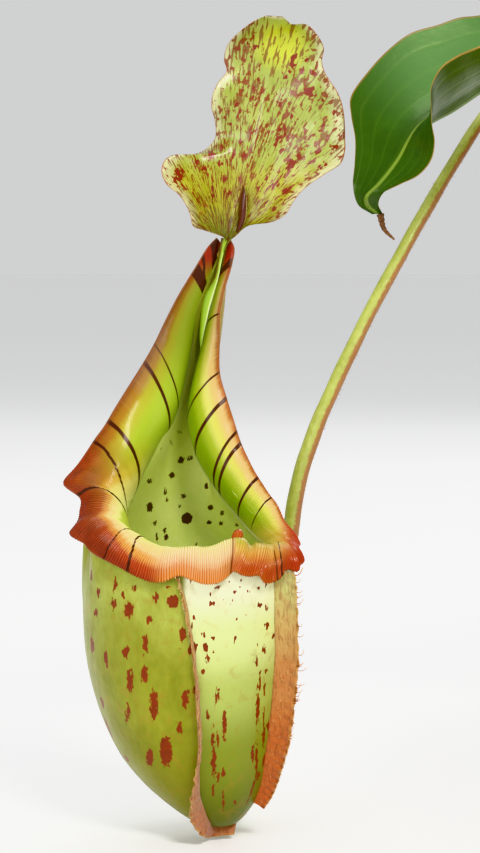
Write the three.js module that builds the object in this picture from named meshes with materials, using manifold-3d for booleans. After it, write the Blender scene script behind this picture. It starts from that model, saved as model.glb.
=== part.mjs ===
// A potted nepenthes hybrid: a clay pot of bark mix, a short stem with a spiral of strap-shaped leaves, and one
// large ground pitcher that stands beside the pot on the tendril of the lowest leaf. Millimetres, +Z up.
// The origin is the middle of the pot's base. The pitcher's front looks towards -Y.
import * as THREE from 'three';
import { mergeVertices } from 'three/addons/utils/BufferGeometryUtils.js';
import Module from 'manifold-3d';

const wasm = await Module();
wasm.setup();

// Driving dimensions
const GAP = 0.3;
const POT = { height: 165, baseRadius: 68, topRadius: 96, rimRadius: 101, rimHeight: 30, wall: 7, floor: 9 };
const DRAIN = { count: 4, radius: 6, circle: 38 };
const MIX_TOP = 147;
const STEM = { foot: 105, top: 300, footRadius: 9, topRadius: 6 };
const PITCHER_AT = new THREE.Vector3(-430, -40, 1.5);
const CUP = { wall: 1.8, columns: 38, shoulder: 128 };
const FOOT_LEVELS = [0.06, 0.16, 0.27, 0.38, 0.5, 0.62, 0.74, 0.87, 1];
const CLIMBS = [0.25, 0.5, 0.75, 0.92, 1];
const RIM_SHEET = {
  thickness: 1.5, ribs: 84, ribHeight: 0.55, ruffle: 0.9, ruffleLength: 14,
};
const LID_THICKNESS = 1.4;
const WING = { thickness: 1.3, steps: 18, hairs: 17, hairLength: 6, hairRadius: 0.55 };
const LEAF = {
  count: 8, turn: -137.5, firstAzimuth: 157.5, thickness: 1.5, keel: 1.6, wave: 2.6, waves: 17, droop: 0.1,
};
const TENDRIL_SIDES = 6;
const HOOK_RADIUS = { root: 1.9, tip: 1.2, bud: 3.2 };
const BARK_LUMP = { first: 2.4, second: 1.6 };

const degrees = THREE.MathUtils.degToRad;
const vector = (x, y, z) => new THREE.Vector3(x, y, z);
const smooth = (low, high, x) => THREE.MathUtils.smoothstep(x, low, high);

// A smooth scalar profile through [place, value] pairs.
function profile(pairs) {
  return (place) => {
    const last = pairs.length - 1;
    if (place <= pairs[0][0]) return pairs[0][1];
    if (place >= pairs[last][0]) return pairs[last][1];
    const i = pairs.findIndex(([p]) => p > place) - 1;
    const at = (k) => pairs[Math.min(Math.max(k, 0), last)];
    const slope = (k) => (at(k + 1)[1] - at(k - 1)[1]) / (at(k + 1)[0] - at(k - 1)[0]);
    const width = at(i + 1)[0] - at(i)[0];
    const t = (place - at(i)[0]) / width;
    const rise = t * t * (3 - 2 * t);
    const startPull = t * (1 - t) * (1 - t);
    const endPull = t * t * (1 - t);
    return at(i)[1] * (1 - rise) + at(i + 1)[1] * rise
      + width * (slope(i) * startPull - slope(i + 1) * endPull);
  };
}

const curveThrough = (points) => new THREE.CatmullRomCurve3(points.map((p) => vector(...p)));

// Joins rings of points into one closed skin. A ring of one point is a pole. The first topCount points of a
// ring lie on the upper face of a sheet, and the rest under it, so both faces get the same diagonals.
function skin(rings, topCount = Infinity) {
  const points = [];
  const faces = [];
  const numbered = rings.map((ring) => ring.map((p) => points.push(p) - 1));
  for (let i = 0; i + 1 < numbered.length; i += 1) {
    const a = numbered[i];
    const b = numbered[i + 1];
    const sides = Math.max(a.length, b.length);
    for (let k = 0; k < sides; k += 1) {
      const next = (k + 1) % sides;
      if (a.length === 1) faces.push([a[0], b[k], b[next]]);
      else if (b.length === 1) faces.push([a[k], b[0], a[next]]);
      else if (k < topCount) faces.push([a[k], b[k], b[next]], [a[k], b[next], a[next]]);
      else faces.push([a[k], b[k], a[next]], [a[next], b[k], b[next]]);
    }
  }
  for (const [ring, turned] of [[numbered[0], false], [numbered.at(-1), true]]) {
    for (let low = 0, high = ring.length - 1; high - low > 1; low += 1, high -= 1) {
      const caps = [[ring[low], ring[low + 1], ring[high]]];
      if (high - low > 2) caps.push([ring[low + 1], ring[high - 1], ring[high]]);
      faces.push(...caps.map((f) => (turned ? f.reverse() : f)));
    }
  }
  return facingOut(points, faces);
}

// A geometry from points and faces, turned round if its volume comes out negative.
function facingOut(points, faces) {
  const volume = faces.reduce((sum, [a, b, c]) => sum + points[a].dot(points[b].clone().cross(points[c])), 0);
  const turned = volume < 0 ? faces.map(([a, b, c]) => [a, c, b]) : faces;
  const geometry = new THREE.BufferGeometry();
  geometry.setAttribute('position', new THREE.Float32BufferAttribute(points.flatMap((p) => p.toArray()), 3));
  geometry.setIndex(turned.flat());
  return geometry;
}

function solidOf(geometry) {
  const bare = geometry.clone();
  bare.deleteAttribute('normal');
  bare.deleteAttribute('uv');
  const merged = mergeVertices(bare, 1e-4);
  return new wasm.Manifold(new wasm.Mesh({
    numProp: 3,
    vertProperties: merged.attributes.position.array,
    triVerts: new Uint32Array(merged.index.array),
  }));
}

// The largest body of a solid as a geometry, so that a cut leaves no scraps.
function geometryOf(solid) {
  const body = solid.decompose().sort((a, b) => b.volume() - a.volume())[0];
  const mesh = body.getMesh();
  const geometry = new THREE.BufferGeometry();
  geometry.setAttribute('position', new THREE.BufferAttribute(mesh.vertProperties, mesh.numProp));
  geometry.setIndex(new THREE.BufferAttribute(mesh.triVerts, 1));
  return geometry;
}

const joined = (solids) => solids.reduce((a, b) => a.add(b));

// A round tube along a curve. radiusAt gives its radius from 0 at the start to 1 at the end.
function sweep(curve, steps, sides, radiusAt) {
  const frames = curve.computeFrenetFrames(steps, false);
  const rings = [];
  for (let i = 0; i <= steps; i += 1) {
    const centre = curve.getPointAt(i / steps);
    const radius = radiusAt(i / steps);
    rings.push(Array.from({ length: sides }, (_, k) => {
      const angle = (2 * Math.PI * k) / sides;
      return centre.clone()
        .addScaledVector(frames.normals[i], radius * Math.cos(angle))
        .addScaledVector(frames.binormals[i], radius * Math.sin(angle));
    }));
  }
  return skin(rings);
}

// Pot and potting mix
function potGeometry() {
  const { height, baseRadius, topRadius, rimRadius, rimHeight, wall, floor } = POT;
  const underRim = height - rimHeight;
  const bodyAt = (z) => baseRadius + ((topRadius - baseRadius) * z) / underRim;
  const outline = [
    [0, 0], [baseRadius - 3, 0], [baseRadius, 3], [bodyAt(underRim) - 1, underRim - 1],
    [rimRadius - 1.5, underRim], [rimRadius, underRim + 2], [rimRadius + 1, height - 3], [rimRadius - 2, height],
    [rimRadius - wall, height], [rimRadius - wall - 2, height - 3], [bodyAt(underRim) - wall, underRim],
    [bodyAt(floor) - wall, floor + 3], [bodyAt(floor) - wall - 4, floor], [0, floor],
  ];
  const lathe = new THREE.LatheGeometry(outline.map(([r, z]) => new THREE.Vector2(r, z)), 32);
  lathe.rotateX(Math.PI / 2);
  let pot = solidOf(lathe);
  if (pot.volume() < 0) throw new Error('the pot profile is inside out');
  for (let i = 0; i < DRAIN.count; i += 1) {
    const angle = (2 * Math.PI * (i + 0.5)) / DRAIN.count;
    const hole = new THREE.CylinderGeometry(DRAIN.radius, DRAIN.radius, floor * 3, 12);
    hole.rotateX(Math.PI / 2);
    hole.translate(DRAIN.circle * Math.cos(angle), DRAIN.circle * Math.sin(angle), floor / 2);
    pot = pot.subtract(solidOf(hole));
  }
  return geometryOf(pot);
}

function mixGeometry() {
  const { height, baseRadius, topRadius, rimHeight, wall, floor } = POT;
  const underRim = height - rimHeight;
  const insideAt = (z) => baseRadius + ((topRadius - baseRadius) * Math.min(z, underRim)) / underRim - wall - 1.3;
  const sides = 32;
  const disc = (radius, heightAt) => Array.from({ length: sides }, (_, k) => {
    const angle = (2 * Math.PI * k) / sides;
    return vector(radius * Math.cos(angle), radius * Math.sin(angle), heightAt(k));
  });
  // Bark lumps stand up from the surface by a formula of two crossed waves.
  const lump = (ring) => (k) => MIX_TOP - ring * 0.7
    + BARK_LUMP.first * Math.sin(k * 2.1 + ring * 1.7) + BARK_LUMP.second * Math.sin(k * 3.7 - ring * 2.9);
  const floorTop = floor + GAP;
  const rings = [
    [vector(0, 0, floorTop)], disc(insideAt(floorTop) - 5, () => floorTop),
    disc(insideAt(floorTop + 4), () => floorTop + 4), disc(insideAt(underRim), () => underRim),
    disc(insideAt(underRim), () => MIX_TOP - 9),
  ];
  for (let ring = 4; ring >= 1; ring -= 1) rings.push(disc(insideAt(underRim) * (ring / 4.5), lump(ring)));
  rings.push([vector(0, 0, MIX_TOP)]);
  return geometryOf(solidOf(skin(rings)).subtract(solidOf(stemGeometry(GAP))));
}

// Stem and leaves
function stemGeometry(extra = 0) {
  const line = curveThrough([
    [0, 0, STEM.foot - extra], [1, -1, 150], [-2, 2, 205], [3, -1, 255], [0, 0, STEM.top + extra],
  ]);
  const radiusAt = (t) => THREE.MathUtils.lerp(STEM.footRadius, STEM.topRadius, t)
    + 0.7 * Math.max(0, Math.sin(t * 46)) * smooth(0.3, 0.4, t) + extra;
  return sweep(line, 18, 10, radiusAt);
}

// Each leaf's midrib is a curve in an upright plane through the stem: [distance from the stem, height] of its
// four control points. fold is the angle, in degrees, by which each half stands up from flat.
const LEAVES = [
  { path: [[3, 205], [60, 305], [185, 425], [272, 404]], halfWidth: 50, fold: 24, roll: 12 },
  { path: [[3, 216], [90, 330], [270, 340], [345, 232]], halfWidth: 54, fold: 21, roll: -8 },
  { path: [[3, 228], [85, 352], [260, 372], [338, 262]], halfWidth: 55, fold: 21, roll: 10 },
  { path: [[3, 240], [75, 375], [255, 405], [335, 305]], halfWidth: 54, fold: 20, roll: -6 },
  { path: [[3, 252], [75, 395], [235, 430], [325, 335]], halfWidth: 52, fold: 22, roll: 8 },
  null,
  { path: [[3, 280], [50, 410], [175, 480], [265, 425]], halfWidth: 45, fold: 26, roll: -10 },
  { path: [[3, 290], [30, 390], [110, 480], [195, 465]], halfWidth: 37, fold: 30, roll: 6 },
];
const FRONT_LEAF_INDEX = LEAVES.indexOf(null);
const bladeWidth = profile([
  [0, 0.2], [0.1, 0.19], [0.22, 0.42], [0.36, 0.8], [0.55, 1], [0.74, 0.96], [0.88, 0.7], [0.96, 0.36], [1, 0.09],
]);

// Leaf 6 in rows from the stem to the tip: far margin, midrib and near margin. Its near half stands up steeply
// until the blade opens out towards the viewer, and its tip is rolled under.
const FRONT_LEAF = [
  [[2, 4, 266], [-2, -1, 260], [2, -7, 267]],
  [[-28, 4, 324], [-33, -6, 317], [-29, -16, 324]],
  [[-68, -2, 374], [-75, -13, 366], [-71, -27, 375]],
  [[-113, 12, 410], [-117, -21, 396], [-116, -53, 411]],
  [[-165, 14, 438], [-165, -29, 413], [-168, -70, 434]],
  [[-215, 6, 443], [-213, -36, 415], [-219, -77, 434]],
  [[-252, -5, 439], [-252, -40, 405], [-257, -78, 422]],
  [[-278, -16, 430], [-280, -42, 392.6], [-283.5, -76, 409.5]],
  [[-289.5, -19, 428.5], [-290, -46, 386], [-295, -82, 404]],
  [[-300.5, -22, 425], [-297.5, -49, 381], [-303.5, -85, 398]],
  [[-314.5, -25, 420.5], [-304.5, -52, 377], [-308.5, -86, 388.5]],
  [[-327, -28, 411], [-310, -54, 373.5], [-308.5, -85, 379.5]],
  [[-337.5, -31, 399.5], [-315, -56, 368.5], [-308, -83, 370]],
  [[-346.5, -35, 386], [-319, -58, 362], [-306.5, -81, 361.5]],
  [[-346.5, -39, 377], [-323, -60, 354.5], [-308, -78, 352.5]],
  [[-344.5, -44, 364], [-327.5, -61, 348], [-314, -74, 345]],
  [[-345, -49, 351], [-333.5, -61, 340.5], [-323, -69, 340.5]],
  [[-346, -53, 340], [-339.5, -59, 334], [-330.5, -63, 336.5]],
  [[-343.5, -53, 330.5], [-338.5, -53, 329.5], [-333, -54, 330.5]],
  [[-336, -49, 325.5], [-333, -48, 325.5], [-330.5, -48, 325.5]],
];

// The leaf's midrib curve and a function that gives a point of the blade: along from 0 at the stem to 1 at the
// tip, across from -1 to 1, and depth below the upper face.
function leafShape(index) {
  const { path, halfWidth, fold, roll } = LEAVES[index];
  const azimuth = degrees(LEAF.firstAzimuth + LEAF.turn * index);
  const out = vector(Math.cos(azimuth), Math.sin(azimuth), 0);
  const side = vector(-out.y, out.x, 0);
  const [a, b, c, d] = path.map(([r, z]) => out.clone().multiplyScalar(r).setZ(z));
  const midrib = new THREE.CubicBezierCurve3(a, b, c, d);
  const point = (along, across, depth) => {
    const tangent = midrib.getTangentAt(along);
    const across3 = side.clone().applyAxisAngle(tangent, degrees(roll) * smooth(0.1, 0.6, along));
    const up = tangent.clone().cross(across3);
    const reach = Math.abs(across) * halfWidth * bladeWidth(along);
    const angle = degrees(fold);
    const phase = index * 1.9 + (across < 0 ? 1.3 : 0);
    const wave = LEAF.wave * Math.sin(along * LEAF.waves + phase) * across * across * bladeWidth(along);
    const curl = -LEAF.droop * reach * Math.abs(across);
    return midrib.getPointAt(along)
      .addScaledVector(across3, Math.sign(across) * reach * Math.cos(angle))
      .addScaledVector(up, reach * Math.sin(angle) + curl + wave - depth);
  };
  return { midrib, point };
}

// Thickness below the upper face: a keel under the midrib.
const bladeDepth = (across) => LEAF.thickness * (1 + LEAF.keel * smooth(0.34, 0, Math.abs(across)));

function leafGeometry(index) {
  const across = [-1, -0.66, -0.3, 0, 0.3, 0.66, 1];
  const under = across.toReversed();
  let rings;
  if (index === FRONT_LEAF_INDEX) {
    rings = FRONT_LEAF.map((row, i) => {
      const [far, middle, near] = row.map((p) => vector(...p));
      const before = vector(...FRONT_LEAF[Math.max(i - 1, 0)][1]);
      const after = vector(...FRONT_LEAF[Math.min(i + 1, FRONT_LEAF.length - 1)][1]);
      const along = after.sub(before).normalize();
      const up = along.clone().cross(near.clone().sub(far)).normalize();
      const at = (w, depth) => {
        const margin = w < 0 ? far : near;
        const sag = 0.12 * margin.distanceTo(middle) * Math.abs(w) * (1 - Math.abs(w)) * 4 * 0.6;
        const taper = Math.min(1, (FRONT_LEAF.length - 1 - i) / 3 + 0.5);
        return middle.clone().lerp(margin, Math.abs(w)).addScaledVector(up, -sag - depth * taper);
      };
      return [...across.map((w) => at(w, 0)), ...under.map((w) => at(w, bladeDepth(w)))];
    });
  } else {
    const { point } = leafShape(index);
    const places = [0, 0.06, 0.14, 0.24, 0.34, 0.45, 0.56, 0.67, 0.78, 0.87, 0.94, 1];
    rings = places.map((along) => [
      ...across.map((w) => point(along, w, 0)),
      ...under.map((w) => point(along, w, bladeDepth(w))),
    ]);
  }
  return geometryOf(solidOf(skin(rings, across.length)).subtract(solidOf(stemGeometry(GAP))));
}

// Where a tendril leaves the end face of a blade, a gap beyond the middle of its keel.
function tendrilStart(index, gap) {
  const { midrib, point } = leafShape(index);
  return point(1, 0, LEAF.thickness * 1.2).addScaledVector(midrib.getTangentAt(1), gap);
}

// Free tendrils hang from the leaf tip in a hook with a small unopened pitcher at the end: reach, drop and the
// bud's size. Leaf 6's is short and withered.
const HOOKS = [null, [60, 95, 0.9], [50, 80, 1], [64, 92, 0.8], [48, 70, 1], null, [44, 62, 0.8], [30, 34, 0.7]];

function hookGeometry(index) {
  if (index === FRONT_LEAF_INDEX) {
    const line = curveThrough([[-331.8, -48.6, 324.6], [-329.8, -49, 318], [-324.5, -49, 312.5]]);
    return sweep(line, 5, TENDRIL_SIDES, (t) => THREE.MathUtils.lerp(1.7, 0.6, t));
  }
  const { midrib } = leafShape(index);
  const [reach, drop, bud] = HOOKS[index];
  const tangent = midrib.getTangentAt(1);
  const start = tendrilStart(index, GAP + 0.1);
  const out = vector(tangent.x, tangent.y, 0).normalize();
  const place = (r, z) => start.clone().addScaledVector(out, r).add(vector(0, 0, z));
  const line = new THREE.CatmullRomCurve3([
    start, start.clone().addScaledVector(tangent, drop * 0.25), place(reach * 0.6, -drop * 0.75),
    place(reach * 0.85, -drop), place(reach * 1.05, -drop * 0.86), place(reach * 1.12, -drop * 0.6),
  ]);
  return sweep(line, 12, TENDRIL_SIDES, (t) => THREE.MathUtils.lerp(HOOK_RADIUS.root, HOOK_RADIUS.tip, t)
    + HOOK_RADIUS.bud * bud * smooth(0.7, 0.88, t) * smooth(1.02, 0.9, t));
}

function newLeafGeometry() {
  const line = curveThrough([[0, 0, STEM.top - 1], [2, -1, 335], [-5, 3, 385], [-16, 8, 428]]);
  const roll = sweep(line, 10, 8, profile([[0, 4.6], [0.3, 6.2], [0.65, 4.4], [0.9, 1.6], [1, 0.5]]));
  return geometryOf(solidOf(roll).subtract(solidOf(stemGeometry(GAP))));
}

// Pitcher. Its own frame has x to the viewer's right, y away from the viewer and z up from its foot.
// Cup sections from the foot to the shoulder: [height, middle x, middle y, half width, half depth].
const CUP_SECTIONS = [
  [5.2, 15, -9, 0.8, 0.8], [6.4, 14.5, -8, 8, 7], [10, 13, -7, 14.5, 13], [18, 10.5, -5, 23.5, 22],
  [28, 7.5, -3, 32, 30.5], [41, 4.5, -1.5, 40, 38.5], [56, 2.4, -0.5, 46, 45], [74, 0.4, 0, 50.5, 50],
  [96, -0.8, 0, 54, 53.5], [CUP.shoulder, -1, 0, 55.5, 55],
];
const sectionMiddle = curveThrough(CUP_SECTIONS.map(([z, x, y]) => [x, y, z]));
const sectionReach = curveThrough(CUP_SECTIONS.map(([z, , , a, b]) => [a, b, z]));
// Azimuth, in degrees, runs from 0 towards the viewer to 90 on the viewer's right.
const WING_AZIMUTHS = {
  left: profile([
    [0.05, -34], [0.11, -26], [0.22, -14], [0.33, -8], [0.44, -5], [0.56, 0], [0.67, 3.5], [0.78, 4.4],
    [0.89, 3.8], [1, -1], [1.12, -6],
  ]),
  right: profile([
    [0.11, 98], [0.22, 86], [0.33, 73], [0.44, 66], [0.56, 60], [0.67, 57.5], [0.78, 58], [0.89, 57.5], [1, 55],
    [1.12, 53],
  ]),
};

// A point of the cup's outside between foot and shoulder. The strip between the wings is a little flatter.
function cupPoint(level, azimuth) {
  const middle = sectionMiddle.getPoint(level);
  const reach = sectionReach.getPoint(level);
  const angle = degrees(azimuth);
  const front = WING_AZIMUTHS.left(level) / 2 + WING_AZIMUTHS.right(level) / 2;
  const off = Math.abs(THREE.MathUtils.euclideanModulo(azimuth - front + 180, 360) - 180);
  const flat = 1 - 0.035 * (1 - smooth(12, 40, off)) * smooth(0.2, 0.6, level);
  return vector(
    middle.x + reach.x * flat * Math.sin(angle),
    middle.y - reach.y * flat * Math.cos(angle),
    middle.z,
  );
}

function cupNormal(level, azimuth) {
  const step = 0.01;
  const up = cupPoint(Math.min(level + step, 1), azimuth).sub(cupPoint(Math.max(level - step, 0), azimuth));
  const around = cupPoint(level, azimuth + 2).sub(cupPoint(level, azimuth - 2));
  return around.cross(up).normalize();
}

// Rim stations from the top of the neck down the left lobe, round the front and up the right lobe again. inner
// is the edge that hangs in the mouth, outer the flared edge, wall the azimuth of the cup's wall below, and
// bulge how far the sheet arches out between its edges, as a share of its width.
const RIM = [
  { inner: [16.5, 24, 308.4], outer: [14.2, 20, 311.8], wall: -178, bulge: 0.08 },
  { inner: [13.0, 27, 296.3], outer: [9.7, 20, 307.3], wall: -175, bulge: 0.1 },
  { inner: [8.0, 30, 282.0], outer: [2.9, 20, 296.3], wall: -171, bulge: 0.12 },
  { inner: [2.9, 32, 266.1], outer: [-6.1, 19, 281.4], wall: -166, bulge: 0.15 },
  { inner: [-0.6, 33, 246.9], outer: [-12.4, 18, 269.5], wall: -160, bulge: 0.18 },
  { inner: [-7.3, 34, 219.1], outer: [-18.7, 18, 256.9], wall: -150, bulge: 0.21 },
  { inner: [-12.4, 34, 207.9], outer: [-23.5, 17, 248.5], wall: -142, bulge: 0.24 },
  { inner: [-19.8, 32, 196.3], outer: [-32.4, 15, 234.4], wall: -131, bulge: 0.26 },
  { inner: [-26.1, 27, 186.0], outer: [-38.5, 12, 224.6], wall: -121, bulge: 0.28 },
  { inner: [-30.5, 18, 175.1], outer: [-44.2, 9, 215.3], wall: -110, bulge: 0.3 },
  { inner: [-32.5, 9, 169.0], outer: [-50.8, 5, 206.6], wall: -100, bulge: 0.3 },
  { inner: [-32.5, 1, 166.1], outer: [-57.9, 1, 196.4], wall: -91, bulge: 0.3 },
  { inner: [-31.9, -7, 163.7], outer: [-66.3, -3, 185.8], wall: -82, bulge: 0.3 },
  { inner: [-30.9, -12, 162.1], outer: [-57.5, -8, 178.9], wall: -74, bulge: 0.34 },
  { inner: [-29.7, -16, 160.5], outer: [-57.7, -14, 170.1], wall: -67, bulge: 0.36 },
  { inner: [-27.5, -21, 158.4], outer: [-62.1, -21, 161.0], wall: -59, bulge: 0.36 },
  { inner: [-24.7, -26, 156.3], outer: [-54.8, -29, 157.1], wall: -51, bulge: 0.38 },
  { inner: [-21.5, -30, 154.2], outer: [-49.7, -37, 152.9], wall: -43, bulge: 0.4 },
  { inner: [-17.8, -34, 152.5], outer: [-42.7, -45, 150.2], wall: -34, bulge: 0.42 },
  { inner: [-13.6, -37, 151.3], outer: [-30.3, -53, 144.7], wall: -24, bulge: 0.44 },
  { inner: [-9.5, -39, 150.5], outer: [-20.0, -59, 140.7], wall: -15, bulge: 0.46 },
  { inner: [-5.4, -40, 150.1], outer: [-12.5, -60, 140.8], wall: -9, bulge: 0.46 },
  { inner: [-2.4, -41, 150.2], outer: [-5.0, -60, 143.8], wall: -4, bulge: 0.46 },
  { inner: [1.7, -41, 150.2], outer: [2.1, -63, 141.9], wall: 2, bulge: 0.46 },
  { inner: [6.2, -41, 150.2], outer: [9.1, -64, 139.8], wall: 8, bulge: 0.46 },
  { inner: [12.3, -39, 151.0], outer: [15.5, -62, 140.5], wall: 15, bulge: 0.46 },
  { inner: [18.4, -36, 152.8], outer: [20.5, -58, 143.1], wall: 23, bulge: 0.5 },
  { inner: [22.9, -31, 155.3], outer: [23.0, -52, 145.1], wall: 29, bulge: 0.68 },
  { inner: [26.5, -28, 150.9], outer: [27.0, -53, 143.5], wall: 33, bulge: 0.48 },
  { inner: [29.6, -25, 149.0], outer: [32.0, -53, 143.0], wall: 38, bulge: 0.46 },
  { inner: [32.7, -22, 148.2], outer: [35.6, -51, 143.0], wall: 44, bulge: 0.42 },
  { inner: [35.3, -19, 147.8], outer: [39.4, -48, 138.8], wall: 50, bulge: 0.44 },
  { inner: [37.4, -16, 148.0], outer: [45.3, -42, 139.4], wall: 56, bulge: 0.42 },
  { inner: [38.9, -13, 148.2], outer: [51.0, -34, 144.4], wall: 62, bulge: 0.4 },
  { inner: [40.0, -10, 148.4], outer: [55.9, -28, 142.4], wall: 68, bulge: 0.38 },
  { inner: [40.5, -7, 148.6], outer: [57.1, -23, 144.9], wall: 74, bulge: 0.36 },
  { inner: [40.6, -4, 148.8], outer: [59.8, -17, 146.8], wall: 80, bulge: 0.34 },
  { inner: [40.1, -1, 149.5], outer: [56.0, -11, 152.4], wall: 86, bulge: 0.32 },
  { inner: [38.5, 2, 151.3], outer: [57.7, -6, 154.5], wall: 91, bulge: 0.3 },
  { inner: [34.9, 6, 154.0], outer: [52.1, 0, 161.2], wall: 98, bulge: 0.28 },
  { inner: [30.2, 11, 158.3], outer: [42.8, 6, 176.6], wall: 106, bulge: 0.28 },
  { inner: [25.5, 16, 163.6], outer: [35.4, 9, 186.9], wall: 114, bulge: 0.27 },
  { inner: [15.9, 23, 174.6], outer: [26.5, 12, 204.1], wall: 126, bulge: 0.26 },
  { inner: [9.5, 27, 183.3], outer: [21.8, 14, 218.1], wall: 135, bulge: 0.25 },
  { inner: [3.1, 30, 194.3], outer: [18.4, 15, 228.6], wall: 144, bulge: 0.23 },
  { inner: [-1.4, 33, 212.2], outer: [14.7, 17, 241.2], wall: 155, bulge: 0.2 },
  { inner: [0.2, 33, 226.1], outer: [14.0, 18, 252.2], wall: 161, bulge: 0.17 },
  { inner: [5.0, 33, 247.4], outer: [14.0, 19, 263.7], wall: 166, bulge: 0.15 },
  { inner: [8.7, 32, 265.0], outer: [14.5, 19, 272.7], wall: 170, bulge: 0.14 },
  { inner: [12.0, 30, 281.5], outer: [17.1, 20, 285.8], wall: 173, bulge: 0.12 },
  { inner: [14.9, 27, 294.2], outer: [21.3, 20, 299.5], wall: 176, bulge: 0.1 },
  { inner: [17.3, 25, 305.8], outer: [22.3, 20, 306.8], wall: 177, bulge: 0.08 },
  { inner: [18.1, 24, 308.9], outer: [20.2, 20, 311.0], wall: 178, bulge: 0.08 },
];
const rimLine = (edge) => new THREE.CatmullRomCurve3(RIM.map((s) => vector(...s[edge])), false, 'centripetal');
const rimInner = rimLine('inner');
const rimOuter = rimLine('outer');
const byStation = (name) => profile(RIM.map((s, i) => [i / (RIM.length - 1), s[name]]));
const rimWallAzimuth = byStation('wall');
const rimBulge = byStation('bulge');

// Places along the rim at even steps of its true length.
function evenRimPlaces(count) {
  const samples = 600;
  const lengths = [0];
  const middle = (t) => rimInner.getPoint(t).lerp(rimOuter.getPoint(t), 0.7);
  for (let i = 1; i <= samples; i += 1) {
    lengths.push(lengths[i - 1] + middle(i / samples).distanceTo(middle((i - 1) / samples)));
  }
  return Array.from({ length: count + 1 }, (_, k) => {
    const wanted = (lengths[samples] * k) / count;
    const i = Math.min(Math.max(lengths.findIndex((l) => l >= wanted), 1), samples);
    const part = (wanted - lengths[i - 1]) / (lengths[i] - lengths[i - 1]);
    return { place: (i - 1 + part) / samples, length: wanted };
  });
}

// The rim sheet's middle surface and its outward direction. across runs from 0 at the inner edge to 1.
function rimPoint(place, across, lift = 0) {
  const inner = rimInner.getPoint(place);
  const outer = rimOuter.getPoint(place);
  const chord = outer.clone().sub(inner);
  const step = 0.022;
  const ahead = Math.min(place + step, 1);
  const behind = Math.max(place - step, 0);
  const along = rimInner.getPoint(ahead).lerp(rimOuter.getPoint(ahead), 0.5)
    .sub(rimInner.getPoint(behind).lerp(rimOuter.getPoint(behind), 0.5));
  const out = chord.clone().cross(along).normalize();
  const height = rimBulge(place) * chord.length() * 1.33;
  const arch = 3 * across * (1 - across) * (1 - 0.25 * (across - 0.5));
  const slope = 3 * (1 - 2 * across) * height;
  const outward = out.clone().multiplyScalar(chord.length()).addScaledVector(chord, -slope / chord.length())
    .normalize();
  const point = inner.addScaledVector(chord, across).addScaledVector(out, arch * height);
  return point.addScaledVector(outward, lift);
}

// The rim sheet: top rows from the inner to the outer edge with fine ribs along them, and under rows back. grown
// is added all round it.
function rimSheet(columns, ribHeight, grown = 0) {
  const { thickness, ruffle, ruffleLength } = RIM_SHEET;
  const top = [0, 0.2, 0.45, 0.73, 1];
  const under = [1, 0.68, 0.32, 0];
  const widen = (w) => w + (w === 0 ? -grown : 0) * 0.04 + (w === 1 ? grown : 0) * 0.04;
  const rings = evenRimPlaces(columns).map(({ place, length }, column) => {
    const rib = column % 2 ? ribHeight : 0;
    const waveAt = (w) => ruffle * w * w * Math.sin((2 * Math.PI * length) / ruffleLength);
    return [
      ...top.map((w) => rimPoint(place, widen(w), waveAt(w) + rib + grown)),
      ...under.map((w) => rimPoint(place, widen(w), waveAt(w) - thickness - grown)),
    ];
  });
  return skin(rings, top.length);
}

const grownRim = () => solidOf(rimSheet(RIM_SHEET.ribs * 2, RIM_SHEET.ribHeight, GAP + 0.05));

// The line inside the cup and neck that its wall is thickened towards.
const cupCore = curveThrough([
  [12, -6, 20], [0, 0, 70], [0, 0, CUP.shoulder], [0, 12, 165], [-3, 33, 205], [0, 38, 225], [4, 36, 250],
  [12, 31, 285], [16.6, 28, 312],
]);
function coreAt(z) {
  const heights = cupCore.points.map((p) => p.z);
  const i = Math.min(Math.max(heights.findIndex((h) => h > z) - 1, 0), heights.length - 2);
  const part = THREE.MathUtils.clamp((z - heights[i]) / (heights[i + 1] - heights[i]), 0, 1);
  return cupCore.points[i].clone().lerp(cupCore.points[i + 1], part).setZ(z);
}

// A point of the wall's top edge before it is cut: inside the rim sheet. The rim's two ends share the apex.
function rimSeat(place, across) {
  const seat = (p) => rimPoint(p, across(p), -RIM_SHEET.thickness / 2);
  return place === 0 ? seat(0).lerp(seat(1), 0.5).add(vector(0, 0, -3)) : seat(place);
}
// How far across the rim sheet the wall meets it, by azimuth.
const seatLine = profile([
  [-180, 0.45], [-140, 0.5], [-110, 0.6], [-85, 0.72], [-60, 0.74], [-35, 0.62], [-10, 0.5], [20, 0.5],
  [50, 0.52], [75, 0.58], [100, 0.55], [140, 0.5], [180, 0.45],
]);
const outerSeat = (place) => seatLine(rimWallAzimuth(place));
const innerSeat = (place) => Math.max(0.12,
  outerSeat(place) - CUP.wall / rimInner.getPoint(place).distanceTo(rimOuter.getPoint(place)));

// Rings of the cup's outside: level by level to the shoulder, then up to the line under the rim sheet. grown
// moves them outwards.
function cupRings(grown = 0) {
  const columns = Array.from({ length: CUP.columns }, (_, k) => {
    const place = k / CUP.columns;
    const azimuth = place === 0 ? 180 : rimWallAzimuth(place);
    const seat = rimSeat(place, outerSeat);
    const start = cupPoint(1, azimuth);
    const span = seat.distanceTo(start);
    const back = Math.max(0, -Math.cos(degrees(azimuth)));
    const leave = start.clone().add(vector(0, 0, span * 0.36));
    const arrive = seat.clone().add(vector(0, back * span * 0.15, -span * 0.26));
    return { azimuth, climb: new THREE.CubicBezierCurve3(start, leave, arrive, seat) };
  });
  return [
    ...FOOT_LEVELS.map((level) => columns.map(({ azimuth }) => (
      cupPoint(level, azimuth).addScaledVector(cupNormal(level, azimuth), grown)))),
    ...CLIMBS.map((share) => columns.map(({ climb }) => {
      const point = climb.getPoint(share);
      return point.addScaledVector(point.clone().sub(coreAt(point.z)).normalize(), grown);
    })),
  ];
}

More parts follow.
